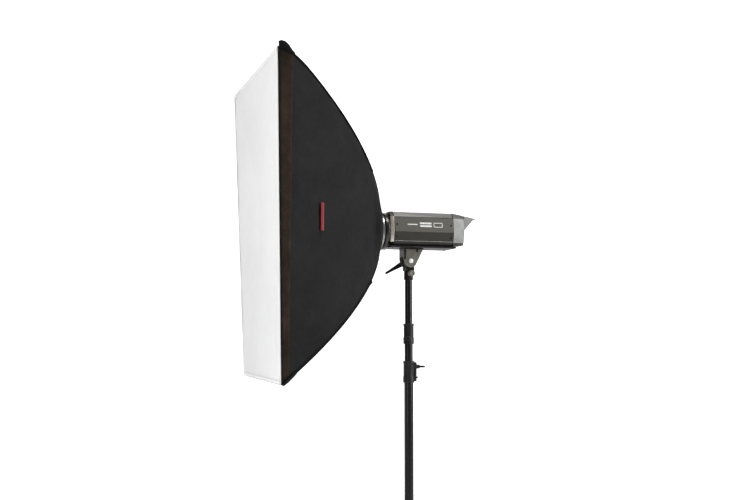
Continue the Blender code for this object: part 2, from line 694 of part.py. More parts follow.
def stand_socket():
    """The block that tilts in the bracket and drops over the stand's spigot."""
    block_outline = arc((0, 0), SOCKET_RADIUS, 0, 180, 10) + [(-SOCKET_RADIUS, -0.033), (SOCKET_RADIUS, -0.033)]
    socket = plate("stand_socket", [block_outline], 2 * SOCKET_HALF_WIDTH, (STAND_X, 0, PIVOT_HEIGHT),
                   SECTION_ACROSS_Y)
    barrel_top = PIVOT_HEIGHT - 0.030
    barrel = cylinder("socket_barrel", SOCKET_RADIUS + 0.0006, barrel_top - SOCKET_BOTTOM,
                      (STAND_X, 0, (barrel_top + SOCKET_BOTTOM) / 2), UPWARDS, 28)
    join(socket, barrel)
    bore_top = 1.1215
    bore = cylinder("socket_bore", SPIGOT_RADIUS + 0.0004, bore_top - SOCKET_BOTTOM + 0.01,
                    (STAND_X, 0, (bore_top + SOCKET_BOTTOM - 0.01) / 2), UPWARDS, 24)
    bolt_path = cylinder("socket_bolt_path", PIVOT_BOLT_RADIUS + CLEARANCE, 0.06, (STAND_X, 0, PIVOT_HEIGHT),
                         ALONG_Y, 16)
    screw_path = cylinder("socket_screw_path", CLAMP_SCREW_RADIUS + CLEARANCE, 0.030,
                          (STAND_X, -0.015, SOCKET_SCREW_HEIGHT), ALONG_Y, 12)
    cut(socket, screw_path, bore, bolt_path)
    finish(socket, "black_metal", swivel)
    tip, shoulder, grip = 0.0088, 0.0192, 0.0105
    profile = [(0, tip), (CLAMP_SCREW_RADIUS, tip), (CLAMP_SCREW_RADIUS, shoulder), (grip - 0.003, shoulder),
               (grip, shoulder + 0.004), (grip, 0.040), (grip - 0.0015, 0.0415), (0, 0.0415)]
    knob = turned("socket_knob", profile, (STAND_X, 0, SOCKET_SCREW_HEIGHT), TOWARDS_CAMERA_SIDE, 18, closed=False)
    finish(knob, "black_plastic", socket_knob_axis)


# ---------------------------------------------------------------- stand
def wing_knob(name, azimuth, height, screw_tip, face, body):
    """A screw with a flat two-winged grip, pointing away from the tube."""
    hub_radius, hub_length, wing_length, wing_half, wing_thickness = 0.0070, 0.012, 0.022, 0.014, 0.0065
    turn = (0, math.pi / 2, azimuth)
    profile = [(0, screw_tip), (CLAMP_SCREW_RADIUS, screw_tip), (CLAMP_SCREW_RADIUS, face), (hub_radius, face),
               (hub_radius, face + hub_length), (0, face + hub_length)]
    knob = turned(name, profile, (STAND_X, 0, height), turn, 14, closed=False)
    start = face + hub_length * 0.55
    wing = [(-0.006, start), (0.006, start), (wing_half, start + wing_length * 0.55),
            (wing_half * 0.8, start + wing_length), (0.0, start + wing_length * 0.82),
            (-wing_half * 0.8, start + wing_length), (-wing_half, start + wing_length * 0.55)]
    blade = plate("wing_blade", [wing], wing_thickness, (STAND_X, 0, height))
    # local x lies level across the knob, local y points away from the tube
    away = Vector((math.cos(azimuth), math.sin(azimuth), 0))
    level = Vector((away.y, -away.x, 0))
    blade.rotation_euler = Matrix((level, away, level.cross(away))).transposed().to_euler()
    join(knob, blade)
    finish(knob, "black_plastic", body)


def clamp(name, span, lower_bore, upper_bore, outer, screw_height, azimuth, boss_end, body):
    """A collar that grips the next tube, with a boss for its screw."""
    step = span[0] + (span[1] - span[0]) * 0.47
    lip = 0.0012
    profile = [(lower_bore, span[0]), (outer + lip, span[0]), (outer + lip, span[0] + 0.020), (outer, span[0] + 0.022),
               (outer, span[1] - 0.008), (outer + lip, span[1] - 0.006), (outer + lip, span[1]),
               (upper_bore, span[1]), (upper_bore, step), (lower_bore, step)]
    collar = turned(name, profile, (STAND_X, 0, 0), UPWARDS, 28)
    boss_start = upper_bore + 0.002
    boss_at = round_about(azimuth, (boss_start + boss_end) / 2, screw_height)
    turn = (0, math.pi / 2, azimuth)
    join(collar, cylinder("clamp_boss", 0.0085, boss_end - boss_start, boss_at, turn, 16))
    cut(collar, cylinder("clamp_screw_path", CLAMP_SCREW_RADIUS + CLEARANCE, boss_end,
                         round_about(azimuth, boss_end / 2 + 0.008, screw_height), turn, 12))
    return finish(collar, "black_plastic", body)


def stand_column():
    """Three tubes inside each other, two clamps and the spigot."""
    centre = (STAND_X, 0, 0)
    finish(ring("base_tube", BASE_RADIUS - TUBE_WALL, BASE_RADIUS, BASE_SPAN, centre), "black_metal", stand)
    finish(ring("mid_tube", MID_RADIUS - TUBE_WALL, MID_RADIUS, MID_SPAN, centre), "black_metal", mid_section)
    finish(ring("top_tube", TOP_RADIUS - TUBE_WALL, TOP_RADIUS, TOP_SPAN, centre), "black_metal", top_section)
    base_clamp = clamp("base_clamp", BASE_CLAMP_SPAN, BASE_RADIUS + CLEARANCE, MID_RADIUS + CLEARANCE, 0.0180,
                       BASE_SCREW_HEIGHT, 0.0, 0.0260, stand)
    ear = box("clamp_ear", (0.0090, 0.016, 0.064), (STAND_X + 0.0215, 0, between(BASE_CLAMP_SPAN)))
    bolt = cylinder("clamp_bolt", 0.0035, 0.0080, (STAND_X + 0.0285, 0, BASE_CLAMP_SPAN[0] + 0.017), ALONG_X, 6)
    join(base_clamp, ear, bolt)
    ear_path = cylinder("ear_screw_path", CLAMP_SCREW_RADIUS + CLEARANCE, 0.030,
                        (STAND_X + 0.032, 0, BASE_SCREW_HEIGHT), ALONG_X, 12)
    cut(base_clamp, ear_path)
    clamp("mid_clamp", MID_CLAMP_SPAN, MID_RADIUS + CLEARANCE, TOP_RADIUS + CLEARANCE, 0.0168,
          MID_SCREW_HEIGHT, MID_KNOB_AZIMUTH, 0.0225, mid_section)
    wing_knob("base_clamp_knob", 0.0, BASE_SCREW_HEIGHT, MID_RADIUS + 0.0012, 0.0264, base_knob_axis)
    wing_knob("mid_clamp_knob", MID_KNOB_AZIMUTH, MID_SCREW_HEIGHT, MID_RADIUS + 0.0012, 0.0229, mid_knob_axis)
    shank, top = TOP_RADIUS - TUBE_WALL - CLEARANCE, 1.119
    profile = [(0, 1.045), (shank, 1.045), (shank, TOP_SPAN[1]), (SPIGOT_RADIUS, TOP_SPAN[1]),
               (SPIGOT_RADIUS, 1.100), (SPIGOT_RADIUS - 0.0015, 1.102), (SPIGOT_RADIUS - 0.0015, 1.111),
               (SPIGOT_RADIUS, 1.113), (SPIGOT_RADIUS, top - 0.001), (SPIGOT_RADIUS - 0.001, top), (0, top)]
    finish(turned("spigot", profile, centre, UPWARDS, 20, closed=False), "bare_metal", top_section)


def ears(collar, pivot_height):
    """Adds a pair of lugs for each leg to a collar."""
    inner, sheet, reach, half_height = LEG_HALF_WIDTH + 0.0006, 0.0028, 0.043, 0.0095
    start = HUB_RADIUS - 0.003
    for azimuth in LEG_AZIMUTHS.values():
        for sign in (-1, 1):
            outline = [(start, -half_height), (LEG_PIVOT_RADIUS, -half_height)]
            outline += arc((LEG_PIVOT_RADIUS, 0), reach - LEG_PIVOT_RADIUS, -75, 75, 4)
            outline += [(LEG_PIVOT_RADIUS, half_height), (start, half_height)]
            lug = plate("leg_lug", [outline], sheet, (STAND_X, 0, pivot_height))
            away = Vector((math.cos(azimuth), math.sin(azimuth), 0))
            across = Vector((-away.y, away.x, 0))
            lug.location += across * sign * (inner + sheet / 2)
            lug.rotation_euler = Matrix((away, Vector((0, 0, 1)), away.cross(Vector((0, 0, 1))))).transposed().to_euler()
            join(collar, lug)


def leg_hubs():
    """The sliding upper hub with its clamp knob, and the fixed lower hub."""
    bore, half_height, chamfer = BASE_RADIUS + CLEARANCE, 0.016, 0.002
    for name, height, body in (
        ("leg_hub", HUB_PIVOT_HEIGHT, hub_slide),
        ("leg_lower_hub", LOWER_PIVOT_HEIGHT, stand),
    ):
        profile = [(bore, -half_height), (HUB_RADIUS - chamfer, -half_height), (HUB_RADIUS, -half_height + chamfer),
                   (HUB_RADIUS, half_height - chamfer), (HUB_RADIUS - chamfer, half_height), (bore, half_height)]
        hub = turned(name, profile, (STAND_X, 0, height), UPWARDS, 28)
        ears(hub, height)
        if name == "leg_hub":
            path = cylinder("hub_screw_path", CLAMP_SCREW_RADIUS + CLEARANCE, 0.03,
                            (STAND_X + 0.025, 0, height), ALONG_X, 12)
            cut(hub, path)
        finish(hub, "black_plastic", body)
    wing_knob("leg_hub_knob", 0.0, HUB_PIVOT_HEIGHT, BASE_RADIUS + 0.0012, HUB_RADIUS + 0.0004, hub_knob_axis)


def leg_direction(azimuth, dip):
    """A unit vector that leaves the tube at an azimuth and dips below the horizon."""
    return Vector((math.cos(azimuth) * math.cos(dip), math.sin(azimuth) * math.cos(dip), -math.sin(dip)))


def channel_outline():
    """The leg's channel section as (across, depth), open towards the strut."""
    half, depth, wall = LEG_HALF_WIDTH, LEG_DEPTH / 2, LEG_SHEET
    return [(-half, -depth), (-half, depth), (half, depth), (half, -depth), (half - wall, -depth),
            (half - wall, depth - wall), (-half + wall, depth - wall), (-half + wall, -depth)]


def leg(letter, azimuth):
    """A leg, its strut and its rubber foot."""
    across = Vector((-math.sin(azimuth), math.cos(azimuth), 0))
    down_leg = leg_direction(azimuth, LEG_ANGLE)
    above = across.cross(down_leg)
    above = above if above.z > 0 else -above
    hub_pivot = Vector(round_about(azimuth, LEG_PIVOT_RADIUS, HUB_PIVOT_HEIGHT))
    start, end = -0.006, LEG_LENGTH - 0.004
    frame = Matrix((above.cross(down_leg), above, down_leg)).transposed()
    channel = plate("leg_" + letter, [channel_outline()], end - start, hub_pivot + down_leg * (start + end) / 2)
    channel.rotation_euler = frame.to_euler()
    finish(channel, "black_metal", leg_pivots[letter])

    lower_pivot = Vector(round_about(azimuth, LEG_PIVOT_RADIUS, LOWER_PIVOT_HEIGHT))
    up_strut = leg_direction(azimuth, -LEG_ANGLE)
    half_depth, half_width = 0.0035, LEG_HALF_WIDTH - LEG_SHEET - 0.001
    outline = arc((0, 0), half_depth, 90, 270, 5) + arc((STRUT_LENGTH, 0), half_depth, -90, 90, 5)
    strut = plate("strut_" + letter, [outline], 2 * half_width, lower_pivot)
    side = up_strut.cross(across)
    strut.rotation_euler = Matrix((up_strut, side, up_strut.cross(side))).transposed().to_euler()
    finish(strut, "black_metal", strut_pivots[letter])

    foot_radius, foot_height = 0.0125, 0.026
    foot_at = hub_pivot + down_leg * (LEG_LENGTH + 0.001)
    foot_at.z = foot_height / 2
    profile = [(0, -foot_height / 2), (foot_radius, -foot_height / 2), (foot_radius, foot_height / 2 - 0.004),
               (foot_radius - 0.003, foot_height / 2), (0, foot_height / 2)]
    foot = turned("foot_" + letter, profile, foot_at, UPWARDS, 20, closed=False)
    size = (2 * (LEG_HALF_WIDTH + CLEARANCE), LEG_DEPTH + 2 * CLEARANCE, 0.060)
    slot_end = LEG_LENGTH - 0.004 + CLEARANCE
    slot = box("foot_slot", size, hub_pivot + down_leg * (slot_end - size[2] / 2))
    slot.rotation_euler = frame.to_euler()
    cut(foot, slot)
    finish(foot, "rubber", leg_pivots[letter])


# ---------------------------------------------------------------- assembly
clear_scene()
parts = new_collection("studio_softbox")
helpers = new_collection("cutters")
helpers.hide_render = True

stand = joint_empty("stand", (STAND_X, 0, 0))
hub_slide = joint_empty("hub_slide", (STAND_X, 0, HUB_PIVOT_HEIGHT), stand)
hub_knob_axis = joint_empty("hub_knob_axis", (STAND_X, 0, HUB_PIVOT_HEIGHT), hub_slide)
strut_pivots = {
    letter: joint_empty("strut_pivot_" + letter, round_about(azimuth, LEG_PIVOT_RADIUS, LOWER_PIVOT_HEIGHT), stand)
    for letter, azimuth in LEG_AZIMUTHS.items()
}
KNEE_RADIUS = LEG_PIVOT_RADIUS + STRUT_LENGTH * math.cos(LEG_ANGLE)
KNEE_HEIGHT = LOWER_PIVOT_HEIGHT + STRUT_LENGTH * math.sin(LEG_ANGLE)
leg_pivots = {
    letter: joint_empty("leg_pivot_" + letter, round_about(azimuth, KNEE_RADIUS, KNEE_HEIGHT), strut_pivots[letter])
    for letter, azimuth in LEG_AZIMUTHS.items()
}
base_knob_axis = joint_empty("base_knob_axis", (STAND_X, 0, BASE_SCREW_HEIGHT), stand)
mid_section = joint_empty("mid_section", (STAND_X, 0, MID_SPAN[0]), stand)
mid_knob_axis = joint_empty("mid_knob_axis", (STAND_X, 0, MID_SCREW_HEIGHT), mid_section)
top_section = joint_empty("top_section", (STAND_X, 0, TOP_SPAN[0]), mid_section)
swivel = joint_empty("swivel", (STAND_X, 0, SOCKET_BOTTOM), top_section)
socket_knob_axis = joint_empty("socket_knob_axis", (STAND_X, 0, SOCKET_SCREW_HEIGHT), swivel)
head = joint_empty("head", (STAND_X, 0, PIVOT_HEIGHT), swivel)
lever_axis = joint_empty("lever_axis", (STAND_X, 0, PIVOT_HEIGHT), head)
softbox = joint_empty("softbox", along(between(PLATE_SPAN)), head)
lock_screw_axis = joint_empty("lock_screw_axis", along(LOCK_SCREW_ALONG), head)
latch_axis = joint_empty("latch_axis", along(0.462, 0, BODY_TOP), head)
fan_axis = joint_empty("fan_axis", along(0.669), head)
power_dial_axis = joint_empty("power_dial_axis", along(PANEL_FACE, -DIAL_Y, DIAL_Z), head)
lamp_dial_axis = joint_empty("lamp_dial_axis", along(PANEL_FACE, DIAL_Y, DIAL_Z), head)
button_axis = joint_empty("button_axis", along(PANEL_FACE, BUTTON_Y, BUTTON_Z), head)
switch_axis = joint_empty("switch_axis", along(PANEL_FACE + 0.0016, SWITCH_Y, SWITCH_Z), head)

build_softbox()
mount_ring_and_insert()
lock_screw()
casing()
rear_hood()
lamps()
electronics()
rear_controls()
bayonet_latch()
tilt_bracket()
tilt_lever()
stand_socket()
stand_column()
leg_hubs()
for leg_letter, leg_azimuth in LEG_AZIMUTHS.items():
    leg(leg_letter, leg_azimuth)
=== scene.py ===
"""The looks of the studio softbox on its flash head, tilt bracket and folding stand.

Metres, +Z up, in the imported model's frame. The softbox faces -X, the flash head's controls face +X, and the
camera looks at the -Y side. Every piece is meshed in place, so each object's own coordinates are the frame's.
"""

import math
from functools import partial

import bmesh
import bpy
from mathutils import Matrix, Vector, noise


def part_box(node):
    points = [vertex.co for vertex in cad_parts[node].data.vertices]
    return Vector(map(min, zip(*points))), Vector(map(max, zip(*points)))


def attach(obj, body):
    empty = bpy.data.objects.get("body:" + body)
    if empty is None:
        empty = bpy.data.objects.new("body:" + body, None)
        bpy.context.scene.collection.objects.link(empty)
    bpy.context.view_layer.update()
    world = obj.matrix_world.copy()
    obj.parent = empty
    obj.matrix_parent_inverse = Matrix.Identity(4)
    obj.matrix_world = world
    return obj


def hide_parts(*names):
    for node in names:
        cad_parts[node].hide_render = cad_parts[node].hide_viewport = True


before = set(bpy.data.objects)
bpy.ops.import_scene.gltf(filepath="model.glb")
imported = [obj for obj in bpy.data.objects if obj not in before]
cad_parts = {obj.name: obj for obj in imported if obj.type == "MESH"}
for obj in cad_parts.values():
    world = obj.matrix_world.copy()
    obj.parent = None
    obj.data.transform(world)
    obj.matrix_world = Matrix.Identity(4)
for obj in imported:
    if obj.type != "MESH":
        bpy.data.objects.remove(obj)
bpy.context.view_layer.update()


# ---------------------------------------------------------------- where the CAD pieces are
def low(node):
    """The lowest corner of a CAD piece's box at rest."""
    return Vector(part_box(node)[0])


def high(node):
    """The highest corner of a CAD piece's box at rest."""
    return Vector(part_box(node)[1])


def centre(node):
    """The middle of a CAD piece's box at rest."""
    return (low(node) + high(node)) / 2


STAND = Vector((centre("base_tube").x, 0, 0))
AXIS_HEIGHT = centre("ring_insert").z
PIVOT = Vector((STAND.x, 0, centre("pivot_bolt").z))
RING_TO_FRONT = 0.4155
FRONT_X = low("front_ring").x - RING_TO_FRONT
HUB_HEIGHT = centre("leg_hub_knob").z
LOWER_HUB_HEIGHT = centre("leg_lower_hub").z

# The tripod as the CAD model has it: leg directions, the leg's slope, and where its pivots are
LEG_AZIMUTHS = {"a": math.pi, "b": math.radians(60), "c": math.radians(-60)}
LEG_DROP, LEG_LENGTH, STRUT_LENGTH, LEG_PIVOT_RADIUS = 0.266, 0.54, 0.20, 0.036
LEG_SLOPE = math.asin(LEG_DROP / LEG_LENGTH)

# The softbox's own shape, as the CAD model has it
WIDTH, HEIGHT, DEPTH = 0.70, 1.00, 0.403
HALF_DIAGONAL = math.hypot(WIDTH, HEIGHT) / 2
SIDE_SHARE, TOP_SHARE = WIDTH / 2 / HALF_DIAGONAL, HEIGHT / 2 / HALF_DIAGONAL
BEND_FROM, BEND_POWER = 0.05, 1.60
BEND = DEPTH / (HALF_DIAGONAL - BEND_FROM) ** BEND_POWER
TOP_FULLNESS, DROOP, TWIST, LIFT = 0.034, 0.031, 0.039, 0.009
REAR_RADIUS = 0.0637
PANEL_SINK, FRONT_SINK, ROD_INSET = 0.012, 0.003, 0.0125
SEAM_GAP = 0.002

# The four cloth sides: the sign of their outward direction, and whether that direction is Y or Z
SIDES = {"left": (-1, "y"), "right": (1, "y"), "top": (1, "z"), "bottom": (-1, "z")}
CORNERS = {"top_left": (-1, 1), "top_right": (1, 1), "bottom_left": (-1, -1), "bottom_right": (1, -1)}

X_AXIS, Y_AXIS, Z_AXIS = Vector((1, 0, 0)), Vector((0, 1, 0)), Vector((0, 0, 1))


def along(distance, y=0.0, z=0.0):
    """A point on the optical axis, that far behind the softbox's front plane, moved by y and z."""
    return Vector((FRONT_X + distance, y, AXIS_HEIGHT + z))


def seam_distance(rho, height_share):
    """How far behind the front plane the cloth lies at radius rho, with its fuller top."""
    share = rho / HALF_DIAGONAL
    corner = DEPTH - BEND * max(rho - BEND_FROM, 0) ** BEND_POWER
    return corner + TOP_FULLNESS * share**1.4 * (1 - share**40) * (1 + height_share) / 2


def lean(y, z):
    """How far the droop and twist carry a point of the front plane forward."""
    return (DROOP + TWIST * y) * z


def settled(x, y, z, rho):
    """The front droops and twists a little and stands a little high, more towards the front."""
    share = rho / HALF_DIAGONAL
    return Vector((x - lean(y, z) * share, y, AXIS_HEIGHT + z + LIFT * share))


def cloth_point(side, rho, across):
    """A point on one cloth side, where across runs from -1 to 1 between its two seams."""
    sign, direction = SIDES[side]
    half_y, half_z = SIDE_SHARE * rho, TOP_SHARE * rho
    forward = (rho - REAR_RADIUS) / (HALF_DIAGONAL - REAR_RADIUS)
    sink = (4 * PANEL_SINK * forward * (1 - forward) + FRONT_SINK * forward) * (1 - across**2)
    if direction == "y":
        y, z = sign * (half_y - sink), half_z * across
    else:
        y, z = half_y * across, sign * (half_z - sink)
    fade = min(1.0, forward / 0.25)
    roundness = 1 - 3 * fade**2 + 2 * fade**3
    scale = 1 + roundness * (rho / math.hypot(y, z) - 1)
    x = FRONT_X + seam_distance(rho, max(-1.0, min(1.0, z / half_z)))
    return settled(x, y * scale, z * scale, rho)


def seam_point(corner, rho, inset=0.0):
    """A point on a corner seam, or as far in front of it as the inset."""
    side_sign, top_sign = CORNERS[corner]
    x = FRONT_X + seam_distance(rho, top_sign) - inset
    return settled(x, side_sign * SIDE_SHARE * rho, top_sign * TOP_SHARE * rho, rho)


def outward(corner):
    """The direction from the axis to a corner, square to the axis."""
    side_sign, top_sign = CORNERS[corner]
    return Vector((0, side_sign * SIDE_SHARE, top_sign * TOP_SHARE)).normalized()


# ---------------------------------------------------------------- mesh tools
def tone(code):
    """A six-digit screen colour as linear red, green and blue."""
    channels = [int(code[i : i + 2], 16) / 255 for i in (0, 2, 4)]
    return tuple(c / 12.92 if c <= 0.04045 else ((c + 0.055) / 1.055) ** 2.4 for c in channels)


def finish_piece(name, bm, body, material, replaces=(), bevel=0.0, smooth=35, segments=2,
                 clean=True):
    """Turns a bmesh into a shown piece that rides on a CAD body, in a material given by its key."""
    if clean:
        bmesh.ops.recalc_face_normals(bm, faces=bm.faces)
    mesh = bpy.data.meshes.new(name)
    bm.to_mesh(mesh)
    bm.free()
    obj = bpy.data.objects.new(name, mesh)
    bpy.context.scene.collection.objects.link(obj)
    mesh.materials.append(MATERIALS[material])
    mesh.shade_smooth()
    mesh.set_sharp_from_angle(angle=math.radians(smooth))
    if bevel:
        rounding = obj.modifiers.new("rounded edges", "BEVEL")
        rounding.width = bevel
        rounding.segments = segments
        rounding.limit_method = "ANGLE"
        rounding.angle_limit = math.radians(28)
        rounding.harden_normals = True
    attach(obj, body)
    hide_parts(*replaces)
    return obj


def copied(node):
    """A CAD node's mesh with its split corners merged and its flat faces whole again."""
    bm = bmesh.new()
    bm.from_mesh(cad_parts[node].data)
    bmesh.ops.remove_doubles(bm, verts=bm.verts, dist=1e-5)
    bmesh.ops.dissolve_limit(bm, angle_limit=math.radians(2), verts=bm.verts, edges=bm.edges)
    bm.normal_update()
    return bm


def softened(node, body, material, bevel, segments=2):
    """A CAD node with its edges rounded."""
    return finish_piece(node + "_rounded", copied(node), body, material, [node], bevel,
                        segments=segments)


def axes_to(direction):
    """A turn that carries +Z to that direction."""
    return Vector(direction).to_track_quat("Z", "Y").to_matrix().to_4x4()


def lathe(bm, profile, at, direction, segments, closed=False, flutes=0, flute_depth=0.0, fluted=(0, 0)):
    """Spins (radius, height) points about an axis through a point; some heights may be fluted."""
    turn = Matrix.Translation(at) @ axes_to(direction)
    count = len(profile)
    rings = []
    for radius, height in profile:
        if radius < 1e-7:
            rings.append([bm.verts.new(turn @ Vector((0, 0, height)))])
            continue
        ring = []
        for i in range(segments):
            angle = 2 * math.pi * i / segments
            reach = radius
            if flutes and fluted[0] <= height <= fluted[1]:
                reach -= flute_depth * (0.5 - 0.5 * math.cos(flutes * angle)) ** 2
            point = Vector((reach * math.cos(angle), reach * math.sin(angle), height))
            ring.append(bm.verts.new(turn @ point))
        rings.append(ring)
    for index in range(count if closed else count - 1):
        lower, upper = rings[index], rings[(index + 1) % count]
        for i in range(segments):
            j = (i + 1) % segments
            corners = [ring[k % len(ring)] for ring, k in ((lower, i), (lower, j), (upper, j), (upper, i))]
            corners = list(dict.fromkeys(corners))
            if len(corners) > 2:
                bm.faces.new(corners)


def prism(bm, outline, thickness, matrix):
    """A flat outline given thickness both ways along its local Z."""
    low_ring = [bm.verts.new(matrix @ Vector((u, v, -thickness / 2))) for u, v in outline]
    high_ring = [bm.verts.new(matrix @ Vector((u, v, thickness / 2))) for u, v in outline]
    bm.faces.new(reversed(low_ring))
    bm.faces.new(high_ring)
    for i in range(len(outline)):
        j = (i + 1) % len(outline)
        bm.faces.new([low_ring[i], low_ring[j], high_ring[j], high_ring[i]])


def basis(at, x_way, y_way):
    """A matrix with its origin and its local X and Y directions given."""
    x_way, y_way = Vector(x_way).normalized(), Vector(y_way).normalized()
    turn = Matrix((x_way, y_way, x_way.cross(y_way))).transposed().to_4x4()
    return Matrix.Translation(at) @ turn


def block(bm, size, at, bevel=0.0, segments=2):
    """A box, with rounded edges where a bevel is given."""
    made = bmesh.ops.create_cube(bm, size=1, matrix=Matrix.Translation(at) @ Matrix.Diagonal((*size, 1)))
    if bevel:
        edges = list(dict.fromkeys(edge for vert in made["verts"] for edge in vert.link_edges))
        bmesh.ops.bevel(bm, geom=edges, offset=bevel, segments=segments, profile=0.5, affect="EDGES",
                        material=-1)


def sweep(bm, path, sizes, hint, segments, power=2.0, closed=False):
    """A rounded bar along a path, (half width, half height) at each point; the height leans to the hint."""
    rings = []
    count = len(path)
    for i, point in enumerate(path):
        before = path[i - 1] if i or closed else path[0]
        after = path[(i + 1) % count] if i < count - 1 or closed else path[-1]
        ahead = (after - before).normalized()
        across = ahead.cross(hint).normalized()
        up = across.cross(ahead)
        wide, tall = sizes[i] if isinstance(sizes, list) else sizes
        ring = []
        for k in range(segments):
            angle = 2 * math.pi * k / segments
            c, s = math.cos(angle), math.sin(angle)
            c = math.copysign(abs(c) ** (2 / power), c)
            s = math.copysign(abs(s) ** (2 / power), s)
            ring.append(bm.verts.new(point + across * wide * c + up * tall * s))
        rings.append(ring)
    for i in range(count if closed else count - 1):
        a, b = rings[i], rings[(i + 1) % count]
        for k in range(segments):
            m = (k + 1) % segments
            bm.faces.new([a[k], a[m], b[m], b[k]])
    if not closed:
        bm.faces.new(reversed(rings[0]))
        bm.faces.new(rings[-1])


def arc(middle, radius, start, end, steps):
    """Points on a circle from one angle to another, in degrees."""
    angles = [math.radians(start + (end - start) * i / steps) for i in range(steps + 1)]
    return [(middle[0] + radius * math.cos(a), middle[1] + radius * math.sin(a)) for a in angles]


def rounded_outline(half_u, half_v, radius, steps=5):
    """A rectangle with round corners, about its own middle."""
    points = []
    for u, v, start in ((1, 1, 0), (-1, 1, 90), (-1, -1, 180), (1, -1, 270)):
        points += arc((u * (half_u - radius), v * (half_v - radius)), radius, start, start + 90, steps)
    return points


def smoothed(points, times):
    """A closed outline with its corners cut again and again until it is round."""
    for _ in range(times):
        cut = []
        for (u0, v0), (u1, v1) in zip(points, points[1:] + points[:1]):
            cut.append((u0 * 0.75 + u1 * 0.25, v0 * 0.75 + v1 * 0.25))
            cut.append((u0 * 0.25 + u1 * 0.75, v0 * 0.25 + v1 * 0.75))
        points = cut
    return points


def grid_faces(bm, grid, columns, flat_at, turned=False):
    """Faces between a grid's points, laid out on a flat pattern; the columns may run round and close."""
    pattern = bm.loops.layers.uv["pattern"]
    steps = ((0, 0), (1, 0), (1, 1), (0, 1)) if turned else ((0, 0), (0, 1), (1, 1), (1, 0))
    for r in range(len(grid) - 1):
        for c in range(columns):
            spots = [(r + down, c + over) for down, over in steps]
            face = bm.faces.new([grid[a][b % len(grid[a])] for a, b in spots])
            for loop, (a, b) in zip(face.loops, spots):
                loop[pattern].uv = flat_at(a, b)


# ---------------------------------------------------------------- materials
def new_group(name, inputs, outputs):
    """An empty node group with named sockets."""
    group = bpy.data.node_groups.new(name, "ShaderNodeTree")
    for label, kind, value in inputs:
        socket = group.interface.new_socket(name=label, in_out="INPUT", socket_type=kind)
        if value is not None:
            socket.default_value = value
    for label, kind in outputs:
        group.interface.new_socket(name=label, in_out="OUTPUT", socket_type=kind)
    return group, group.nodes.new("NodeGroupInput"), group.nodes.new("NodeGroupOutput")


def math_node(tree, operation, a, b=None):
    """A Math node fed by sockets or plain numbers."""
    node = tree.nodes.new("ShaderNodeMath")
    node.operation = operation
    for index, value in enumerate((a, b)):
        if value is None:
            continue
        if isinstance(value, (int, float)):
            node.inputs[index].default_value = value
        else:
            tree.links.new(value, node.inputs[index])
    return node.outputs[0]


def mottle_group():
    """Broad and fine unevenness of a surface, from 0 to 1 about the middle."""
    group, start, end = new_group(
        "mottle",
        [("Vector", "NodeSocketVector", None), ("Scale", "NodeSocketFloat", 12.0)],
        [("Value", "NodeSocketFloat"), ("Fine", "NodeSocketFloat")],
    )
    fine_scale = math_node(group, "MULTIPLY", start.outputs["Scale"], 14.0)
    for scale, output in ((start.outputs["Scale"], "Value"), (fine_scale, "Fine")):
        cloud = group.nodes.new("ShaderNodeTexNoise")
        cloud.inputs["Detail"].default_value = 4.0
        cloud.inputs["Roughness"].default_value = 0.6
        group.links.new(start.outputs["Vector"], cloud.inputs["Vector"])
        group.links.new(scale, cloud.inputs["Scale"])
        group.links.new(cloud.outputs["Fac"], end.inputs[output])
    return group


def weave_group():
    """Plain weave: threads over and under each other, as a height from 0 to 1 and as a normal."""
    group, start, end = new_group(
        "plain weave",
        [("Vector", "NodeSocketVector", None), ("Threads", "NodeSocketFloat", 900.0),
         ("Strength", "NodeSocketFloat", 0.3)],
        [("Height", "NodeSocketFloat"), ("Normal", "NodeSocketVector")],
    )
    parts = group.nodes.new("ShaderNodeSeparateXYZ")
    group.links.new(start.outputs["Vector"], parts.inputs[0])
    waves = []
    for axis in ("X", "Y"):
        turns = math_node(group, "MULTIPLY", parts.outputs[axis], start.outputs["Threads"])
        waves.append(math_node(group, "SINE", math_node(group, "MULTIPLY", turns, math.pi)))
    product = math_node(group, "MULTIPLY", waves[0], waves[1])
    height = math_node(group, "ADD", math_node(group, "MULTIPLY", product, 0.5), 0.5)
    bump = group.nodes.new("ShaderNodeBump")
    bump.inputs["Distance"].default_value = 0.0003
    group.links.new(start.outputs["Strength"], bump.inputs["Strength"])
    group.links.new(height, bump.inputs["Height"])
    group.links.new(height, end.inputs["Height"])
    group.links.new(bump.outputs["Normal"], end.inputs["Normal"])
    return group


def dust_group():
    """Where dust settles: a patchy mask on what faces up."""
    group, start, end = new_group(
        "settled dust", [("Vector", "NodeSocketVector", None)], [("Mask", "NodeSocketFloat")]
    )
    geometry = group.nodes.new("ShaderNodeNewGeometry")
    parts = group.nodes.new("ShaderNodeSeparateXYZ")
    group.links.new(geometry.outputs["Normal"], parts.inputs[0])
    cloud = group.nodes.new("ShaderNodeTexNoise")
    cloud.inputs["Scale"].default_value = 60.0
    cloud.inputs["Detail"].default_value = 5.0
    group.links.new(start.outputs["Vector"], cloud.inputs["Vector"])
    facing = group.nodes.new("ShaderNodeMapRange")
    facing.inputs["From Min"].default_value = 0.3
    facing.inputs["From Max"].default_value = 1.0
    group.links.new(parts.outputs["Z"], facing.inputs["Value"])
    group.links.new(math_node(group, "MULTIPLY", facing.outputs[0], cloud.outputs["Fac"]), end.inputs["Mask"])
    return group


